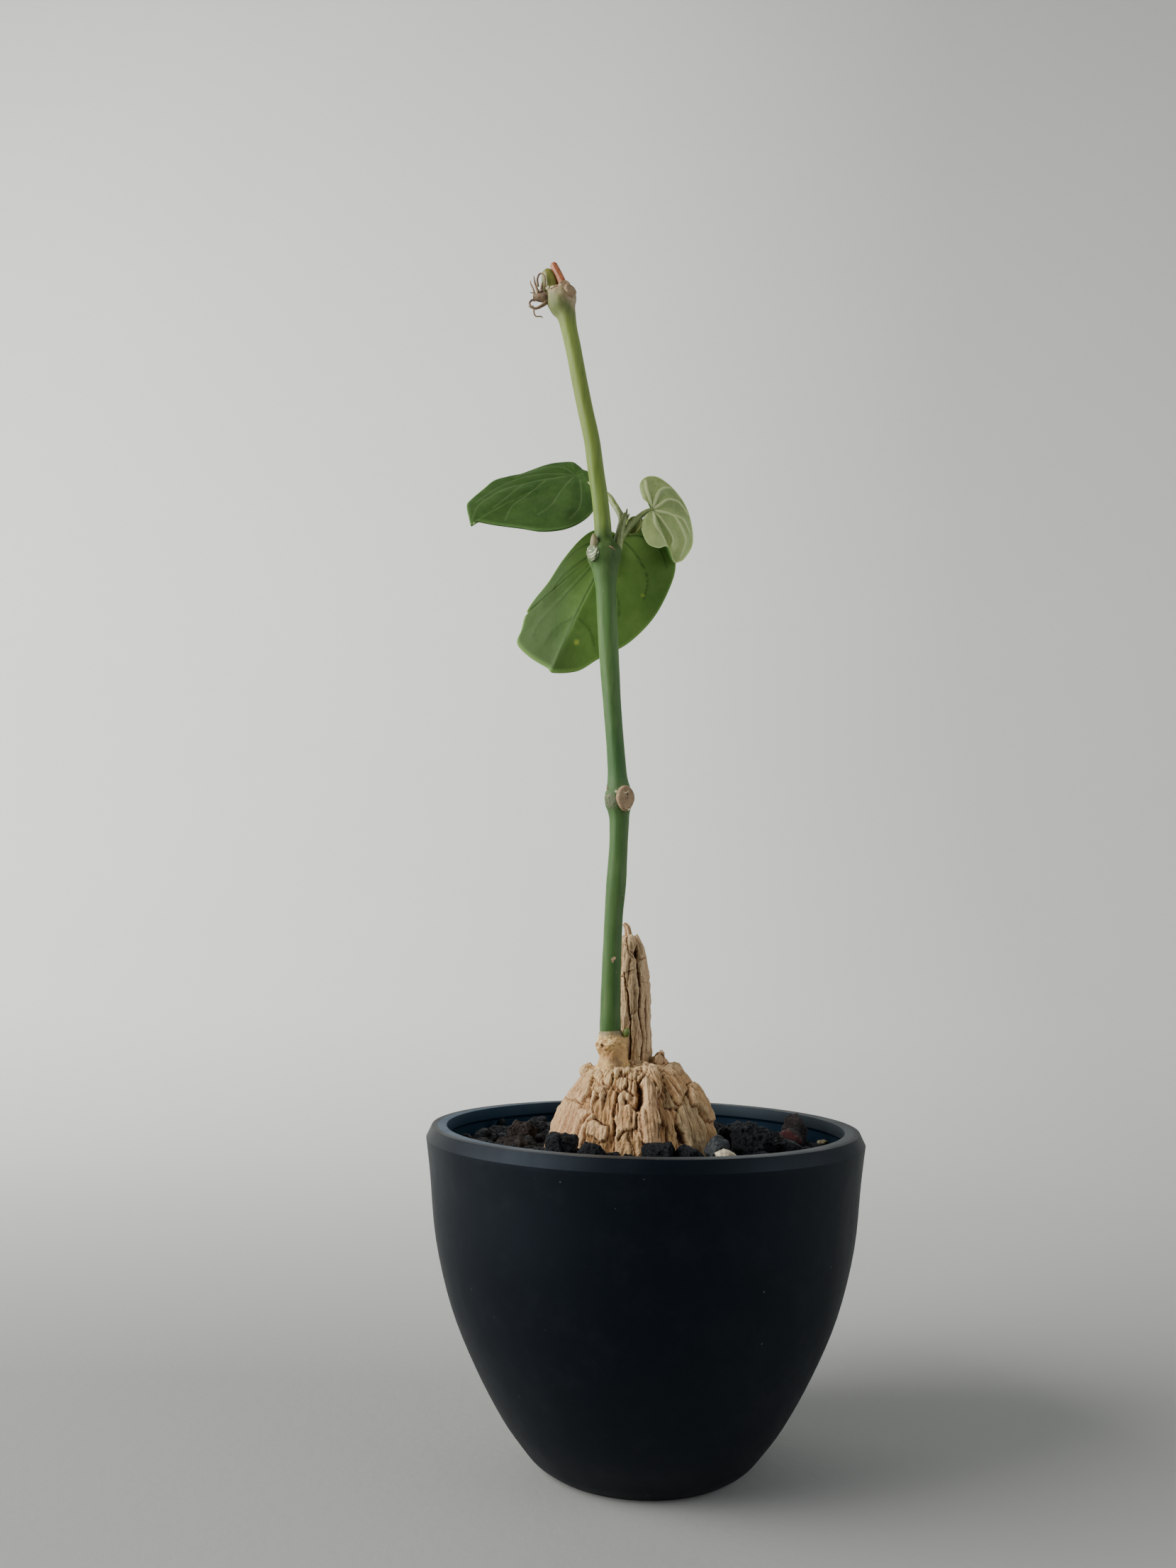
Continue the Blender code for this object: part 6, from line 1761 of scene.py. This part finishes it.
def make_old_stump(finishes):
    """The broken stump: upright slabs with deep cracks between, and a ragged top."""
    frames = np.array(smooth_through(STUMP_ROUTE, 60))
    lengths = np.concatenate([[0.0], np.cumsum(np.hypot(
        np.diff(frames[:, 2]), np.diff(frames[:, 3])))])
    share = np.linspace(0.0, lengths[-1], STUMP_ROWS)
    cx, cy, cz, radii = (np.interp(share, lengths, frames[:, axis]) for axis in range(4))
    angles = 2 * math.pi * np.arange(STUMP_COLUMNS) / STUMP_COLUMNS
    warp_across, warp_up, open_crack = edge_fields(
        angles, cz, STUMP_UNROLLED, STUMP_JAGS, 1.5, 240.0)
    fine = np.array([
        [fine_bark((STUMP_UNROLLED * math.sin(angle), STUMP_UNROLLED * math.cos(angle), up),
                   0.62) for angle in angles] for up in cz
    ])
    rng = random.Random(SLAB_SEED + 3)
    slabs = [
        (outline, out / 1000 + STUMP_RECESS, rng.uniform(-0.06, 0.06), 0.0, tone)
        for outline, out, tone in STUMP_SLABS
    ]
    grid = (angles, cz, np.full(STUMP_ROWS, 0.0046), warp_across, warp_up)
    height, tones, border = slab_heights(*grid, slabs, STUMP_EDGE)
    deep = groove_depths(*grid, STUMP_GROOVES)
    seam = np.exp(-(border / STUMP_SEAM) ** 2) * open_crack
    relief = height - STUMP_RECESS + fine - deep - STUMP_SEAM_DEPTH * seam
    # the marks where the bark's finish paints shade into crevices and highlights onto crests
    crevice, crest = hollow_marks(relief * 1.5)
    crevice = np.clip(crevice + 0.9 * deep / 0.0008 + 0.3 * seam, 0, 1)
    relief *= np.clip(radii / 0.004, 0, 1)[:, None]
    ragged = np.clip((cz - 0.129) / 0.0028, 0, 1)[:, None]
    bumps = np.array([noise_at(math.cos(a) * 2.6, math.sin(a) * 2.6, 7.0) for a in angles])
    reach = np.maximum(radii[:, None] + relief, 0.0002)
    slope = np.interp(cz, *zip(*STUMP_SLOPE))[:, None] / np.maximum(np.sin(angles), 0.3)
    reach = np.minimum(reach, slope)
    xs = cx[:, None] + reach * np.sin(angles)
    ys = cy[:, None] - reach * np.cos(angles)
    zs = cz[:, None] + 0.0011 * ragged * bumps
    ends = [(cx[end], cy[end], zs[end].min(), 0.8, 0.0, 0.5) for end in (0, -1)]
    bark_piece("old_stump", xs, ys, zs, (crevice, crest, tones), finishes, ends)


def make_shoulder(finishes):
    """Angular blocks of cork that stand up round the foot of the stump."""
    def cracked(vertex):
        large, large_joint = plates(vertex.co, 0.0022, 1.7, 0.0003, 0.0004, 0.1)
        small, small_joint = plates(vertex.co, 0.001, 2.4, 0.00014, 0.00016, 0.13)
        # joints get the crevice mark, darkened as painted shade; plate tops get the crest mark,
        # painted highlights
        deep = min(0.5 * large_joint + 0.3 * small_joint, 1.0)
        crest = min(max(large * 1500.0, 0.0), 0.6)
        return vertex.co + vertex.normal * (large + small), deep, crest, 0.25

    blocks = []
    for index, (outline, front, back) in enumerate(SHOULDER_WEDGES):
        middle = sum((Vector(corner) for corner in outline), Vector((0.0, 0.0))) / len(outline)
        points = []
        for depth, share in ((front, 0.86), (0.6 * front + 0.4 * back, 1.0), (back, 0.7)):
            for corner in outline:
                point = middle + (Vector(corner) - middle) * share
                points.append((point.x, depth, point.y))
        block = hull("shoulder_%d" % index, points)
        modify(block, "even_mesh", "REMESH", mode="VOXEL", voxel_size=0.0002)
        reshape(block, cracked, ("crevice", "crest", "tone"))
        blocks.append(block)
    shoulder = join("shoulder_blocks", blocks)
    smooth(shoulder)
    wear(shoulder, finishes["cork_bark"])
    stand_for(shoulder, "caudex")


def core_surface(angle, share, centre, radius):
    """A bundle of stiff fibres."""
    strands = math.cos(5 * angle + share * 3.0)
    # the second value, between the strands, is darkened by the finish as painted shade
    return radius * (0.86 + 0.16 * strands), 0.5 - 0.4 * strands


def collar_surface(angle, share, centre, radius):
    """Folds of the neck: a lumpy cuff above, a smooth narrow waist and crumbs at its foot."""
    at = Vector((
        centre.x + radius * math.cos(angle), centre.y + radius * math.sin(angle), centre.z,
    ))
    cuff = hump(centre.z - 0.1032, 0.002)
    folds = noise.noise(at * 520.0) * 0.00045 + noise.noise(at * 1300.0) * 0.00016
    left = Vector((at.x - centre.x, at.y - centre.y)).dot(Vector((-0.86, -0.5))) / radius
    hole = hump((at - NECK_HOLE).length, 0.00055)
    wrinkle = 0.00006 * noise_at(at.x * 2400, at.y * 2400, at.z * 700)
    low = held((0.0985 - centre.z) / 0.0025)
    chunk, chunk_joint = plates(at, 0.0017, 1.7, 0.00045, 0.0006, 0.12)
    flake, flake_joint = plates(at, 0.0012, 0.8, 0.00022, 0.00016, 0.1)
    flaky = cuff * held(0.5 + left)
    lumpy = 0.3 + 0.7 * held(0.4 + left)
    reach = radius + folds * lumpy * (0.3 + 0.7 * cuff) + 0.00045 * cuff * max(left, 0.0)
    reach += wrinkle + chunk * low + flake * flaky - 0.0011 * hole
    reach -= 0.00012 * max(0.0, math.sin((centre.z + folds * 0.6) * 5200.0)) * cuff
    joints = 0.6 * chunk_joint * low + 0.4 * flake_joint * flaky
    # the second value, darkened by the neck's finish: painted shade in the folds and the hole,
    # dark joints
    return reach, min(held(-folds / 0.0003) * 0.35 + hole + joints, 1.0)


def make_core_and_neck(finishes):
    """The fibrous core that sticks out of the stump, and the corky neck of the stem."""
    core = tube("stump_core", CORE_ROUTE, 40, 12, core_surface)
    store(core, "crest", 0.3)
    store(core, "tone", 0.4)
    neck = tube("corky_neck", COLLAR_ROUTE, 150, 24, collar_surface)
    for item, look in ((core, "cork_bark"), (neck, "neck_cork")):
        wear(item, finishes[look])
        stand_for(item, "caudex")


# Stem and small growth

def stem_surface(angle, share, centre, radius):
    """A nearly round stem with faint ribs, and a fine ring at each node."""
    ribs = 0.000035 * math.cos(6 * angle + 2.0 * math.sin(centre.z * 60.0))
    swell = 0.00006 * noise_at(math.cos(angle), math.sin(angle), centre.z * 220.0)
    ring = 0.0
    for level in (LOWER_NODE + 0.0016, UPPER_NODE + 0.003):
        ring -= 0.00012 * hump(centre.z - level, 0.00035)
        ring += 0.00009 * hump(centre.z - level + 0.0009, 0.0005)
    near_node = sum(
        hump(centre.z - level, width)
        for level, width in ((UPPER_NODE, 0.0035), (LOWER_NODE, 0.0025), (HEAD, 0.003))
    )
    lumps = noise_at(math.cos(angle) * 2.2, math.sin(angle) * 2.2, centre.z * 420)
    return radius + ribs + swell + ring + 0.0003 * near_node * lumps, 0.0


def bud_surface(angle, share, centre, radius):
    """Two overlapping scales."""
    fold = math.cos(angle * 2.0 + share * 4.0)
    return radius * (1.0 + 0.07 * fold), 0.5 - 0.4 * fold


def stub_surface(angle, share, centre, radius):
    """A shrivelled stalk with fine ribs."""
    ribs = math.cos(7 * angle + 2.0 * share)
    return radius * (1.0 + 0.025 * ribs), 0.4 - 0.3 * ribs


def scar(index, centre, half_sizes, turn, tilt):
    """A raised oval scar: a sphere cut to a slightly dished face, narrower towards its foot."""
    middle = Vector(metres(centre))
    long_way, thick, tall = metres(half_sizes)
    turn = math.radians(turn)
    pick(None)
    bpy.ops.mesh.primitive_uv_sphere_add(
        segments=36, ring_count=24, radius=1.0, location=middle,
        rotation=(0.0, math.radians(tilt), turn), scale=(long_way, thick, tall),
    )
    item = added("scar_%d" % index)
    outward = Vector((math.sin(turn), -math.cos(turn), 0.0))

    def dished(vertex):
        offset = vertex.co - middle
        offset.x *= 1.0 + 0.25 * min(offset.z / tall, 0.0)
        facing = offset.dot(outward) / max(thick, 0.0001)
        over = max(facing - 0.6, 0.0)
        grain = noise.noise(vertex.co * 1400.0)
        offset -= outward * (thick * (1.18 * over))
        offset += outward * (0.05 * long_way * grain)
        rim = hump(facing - 0.66, 0.05)
        return middle + offset, min(0.5 * rim + 0.4 * max(grain, 0.0), 1.0)

    reshape(item, dished, ("crevice",))
    return item


def make_stem(finishes):
    """The green stem and stub, with the scars and fine lines on them."""
    route = [(x, STEM_Y, z, radius) for x, z, radius in STEM_ROUTE]
    stem = tube("green_stem", route, STEM_SIDES, 10, stem_surface)
    stub = tube("green_stub", GREEN_STUB_ROUTE, 36, 8, stub_surface)
    for item, look in ((stem, "green_stem"), (stub, "stub_green")):
        wear(item, finishes[look])
        stand_for(item, "main_stem")
    pads = {}
    for index, (look, *values) in enumerate(STEM_SCARS):
        pads.setdefault(look, []).append(scar(index, *values))
    for index, (look, route) in enumerate(SCAR_LINES):
        pads.setdefault(look, []).append(tube("scar_line_%d" % index, route, 12, 6))
    for look, parts in pads.items():
        pad = join(look + "_pads", parts)
        smooth(pad)
        wear(pad, finishes[look])
        stand_for(pad, "main_stem")


def make_small_parts(finishes):
    """Stubs, buds, the dried flower and the side shoot."""
    for name, route, surface, look in (
        ("orange_stub", ORANGE_STUB_ROUTE, stub_surface, "orange_stub"),
        ("axillary_bud", AXILLARY_BUD_ROUTE, bud_surface, "bud"),
        ("basal_bud", BASAL_BUD_ROUTE, bud_surface, "young_growth"),
    ):
        item = tube(name + "_fine", route, 36, 10, surface)
        wear(item, finishes[look])
        stand_for(item, name)
    threads = [
        tube("strand_%d" % index, route, 20, 10, stub_surface)
        for index, route in enumerate(FLOWER_ROUTES)
    ]
    flower = join("dried_flower_fine", threads)
    wear(flower, finishes["dried_flower"])
    stand_for(flower, "dried_flower")
    stalk = tube("shoot_stalk", SHOOT_ROUTE, 36, 8, stub_surface)
    scales = []
    for index, points in enumerate(SHOOT_SCALES):
        last = len(points) - 1
        route = [
            (*point, 0.00055 * (1.0 - 0.7 * step / last)) for step, point in enumerate(points)
        ]
        scales.append(tube("scale_%d" % index, route, 12, 8))
    for item, look in ((stalk, "petiole"), (join("shoot_scales", scales), "shoot")):
        wear(item, finishes[look])
        stand_for(item, "side_shoot")


# Leaves

def vein_distance(points, veins, outward):
    """Distance of each point to the nearest vein, in widths of that vein and in metres."""
    across = outward.orthogonal().normalized()
    up = outward.cross(across)
    plane = np.array([across[:], up[:]]).T
    flat = points @ plane
    best = np.full(len(points), FAR)
    nearest = np.full(len(points), FAR)
    for rank, vein in enumerate(veins):
        curve = np.array(smooth_through(vein, 6)) @ plane
        count = len(curve) - 1
        for index in range(count):
            start = curve[index]
            run = curve[index + 1] - start
            length = max(float(run @ run), 1e-12)
            share = np.clip(((flat - start) @ run) / length, 0, 1)
            gap = np.hypot(*(flat - start - share[:, None] * run).T)
            along = (index + share) / count
            own = (0.00032 if rank == 0 else 0.00028) * (1.0 - 0.3 * along)
            best = np.minimum(best, gap / own)
            nearest = np.minimum(nearest, gap)
    return best, nearest


def make_leaf(node_name, leaf, columns, rings, relief, slot, finishes):
    """A blade from its veins' junction out to its edge, quilted between the veins."""
    junction = Vector(leaf["junction"])
    belly = Vector(leaf["belly"])
    per_span = max(1, round(columns / (len(leaf["edge"]) - 1)))
    edge = [Vector(point) for point in smooth_through(leaf["edge"], per_span)]
    outward = sum(
        ((a - junction).cross(b - junction) for a, b in zip(edge, edge[1:])), Vector(),
    ).normalized()

    def place(column, row):
        share = (row / rings) ** 0.85
        point = junction.lerp(edge[column], share) + belly * (4 * share * (1 - share))
        return point, share

    name = node_name + "_blade"
    blade = shaped_grid(name, len(edge) - 1, rings, place, ("margin",))
    points = np.array([vertex.co[:] for vertex in blade.data.vertices])
    near, gap = vein_distance(points, leaf["veins"], outward)
    lines = np.exp(-near ** 2)
    quilt = 1.0 - np.exp(-(gap / 0.0016) ** 2)
    share = np.empty(len(points))
    blade.data.attributes["margin"].data.foreach_get("value", share)
    fade = np.clip((1.0 - share) * 6.0, 0, 1) * np.clip(share * 5.0, 0, 1)
    ripple = np.array([noise.noise(Vector(point) * 170.0) for point in points])
    lift = relief * (quilt - 0.75 * lines) + 0.00022 * ripple
    points += (lift * fade)[:, None] * np.array(outward[:])
    blade.data.vertices.foreach_set("co", points.ravel())
    store(blade, "vein", lines * np.clip(share * 8.0, 0.2, 1))
    tidy_mesh(blade)
    aim_blade(blade, outward)
    wear(blade, finishes[node_name + "_top"], finishes[node_name + "_back"])
    modify(blade, "thickness", "SOLIDIFY", thickness=BLADE_THICKNESS, offset=0.0,
           material_offset=1)
    petiole = tube(name + "_petiole", leaf["petiole"], 28, 12, stub_surface)
    for mark in ("vein", "margin"):
        store(petiole, mark, 0.0)
    wear(petiole, finishes["petiole"])
    whole = join(name, [blade, petiole])
    smooth(whole)
    stand_for(whole, node_name)


def aim_blade(blade, outward):
    """Turns the open blade so that its faces look to the upper side of the leaf."""
    facing = sum(face.normal.dot(outward) * face.area for face in blade.data.polygons)
    if facing < 0:
        whole_in_edit(blade)
        bpy.ops.mesh.flip_normals()
        bpy.ops.object.mode_set(mode="OBJECT")


# Stage, lights and camera

def make_stage():
    """A pale floor that sweeps up into a wall behind the plant."""
    pick(None)
    bpy.ops.mesh.primitive_plane_add(size=1.0, location=(0.0, 0.0, 0.0))
    floor = added("backdrop")
    for vertex in floor.data.vertices:
        vertex.co.x = math.copysign(STAGE_HALF_WIDTH, vertex.co.x)
        vertex.co.y = STAGE_FRONT if vertex.co.y < 0 else STAGE_WALL
    bpy.ops.object.mode_set(mode="EDIT")
    bpy.ops.mesh.select_all(action="DESELECT")
    bpy.ops.object.mode_set(mode="OBJECT")
    for vertex in floor.data.vertices:
        vertex.select = vertex.co.y > 0
    for edge in floor.data.edges:
        edge.select = all(floor.data.vertices[index].co.y > 0 for index in edge.vertices)
    bpy.ops.object.mode_set(mode="EDIT")
    bpy.ops.mesh.extrude_region_move(TRANSFORM_OT_translate={"value": (0.0, 0.0, STAGE_TOP)})
    bpy.ops.object.mode_set(mode="OBJECT")
    modify(floor, "sweep", "BEVEL", width=0.45, segments=32, limit_method="ANGLE")
    smooth(floor)
    wear(floor, make_backdrop_finish())


def area_light(name, place, target, size, power, colour, spread_degrees):
    light = bpy.data.lights.new(name, "AREA")
    light.spread = math.radians(spread_degrees)
    light.shape = "RECTANGLE"
    light.size, light.size_y = size
    light.energy = power
    light.color = colour
    item = placed(name, light)
    item.location = place
    aim = Vector(target) - Vector(place)
    item.rotation_euler = aim.to_track_quat("-Z", "Y").to_euler()


def make_lights():
    """A broad window-like light from the left, a weak fill from the right and a soft sky."""
    area_light("window", (-1.12, -0.28, 0.66), (0.0, 0.15, 0.26), (1.0, 1.2), 28.0,
               (1.0, 0.985, 0.96), 150)
    area_light("fill", (1.2, -0.4, 0.45), (0.0, 0.0, 0.14), (1.2, 1.2), 11.0,
               (0.94, 0.97, 1.0), 180)
    world = bpy.data.worlds.new("studio")
    world.use_nodes = True
    sky = world.node_tree.nodes["Background"]
    sky.inputs["Color"].default_value = (0.86, 0.9, 0.92, 1.0)
    sky.inputs["Strength"].default_value = 0.19
    bpy.context.scene.world = world


def make_camera():
    """The camera at the photograph's viewing angle."""
    camera = bpy.data.cameras.new("camera")
    camera.sensor_fit = "VERTICAL"
    camera.sensor_height = SENSOR_HEIGHT
    camera.lens = SENSOR_HEIGHT * FOCAL_PIXELS / IMAGE_HEIGHT
    camera.clip_start = 0.01
    forward = Vector((0.0, math.cos(CAMERA_PITCH), math.sin(CAMERA_PITCH)))
    level = Vector((1.0, 0.0, 0.0))
    rise = level.cross(forward)
    right = math.cos(CAMERA_ROLL) * level + math.sin(CAMERA_ROLL) * rise
    up = -math.sin(CAMERA_ROLL) * level + math.cos(CAMERA_ROLL) * rise
    item = placed("camera", camera)
    rows = zip(right, up, -forward, CAMERA_PLACE)
    item.matrix_world = Matrix((*rows, (0.0, 0.0, 0.0, 1.0)))
    bpy.context.scene.camera = item


def main():
    noise.seed_set(NOISE_SEED)
    finishes = all_finishes()
    make_pot(finishes)
    wear(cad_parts["potting_mix"], finishes["potting_mix"])
    make_bed(finishes)
    make_gravel(finishes)
    make_grit(finishes)
    make_coloured_stones(finishes)
    make_caudex_dome(finishes)
    make_shoulder(finishes)
    make_old_stump(finishes)
    make_core_and_neck(finishes)
    make_stem(finishes)
    make_small_parts(finishes)
    for leaf in LEAVES:
        make_leaf(*leaf, finishes)
    make_stage()
    make_lights()
    make_camera()


main()
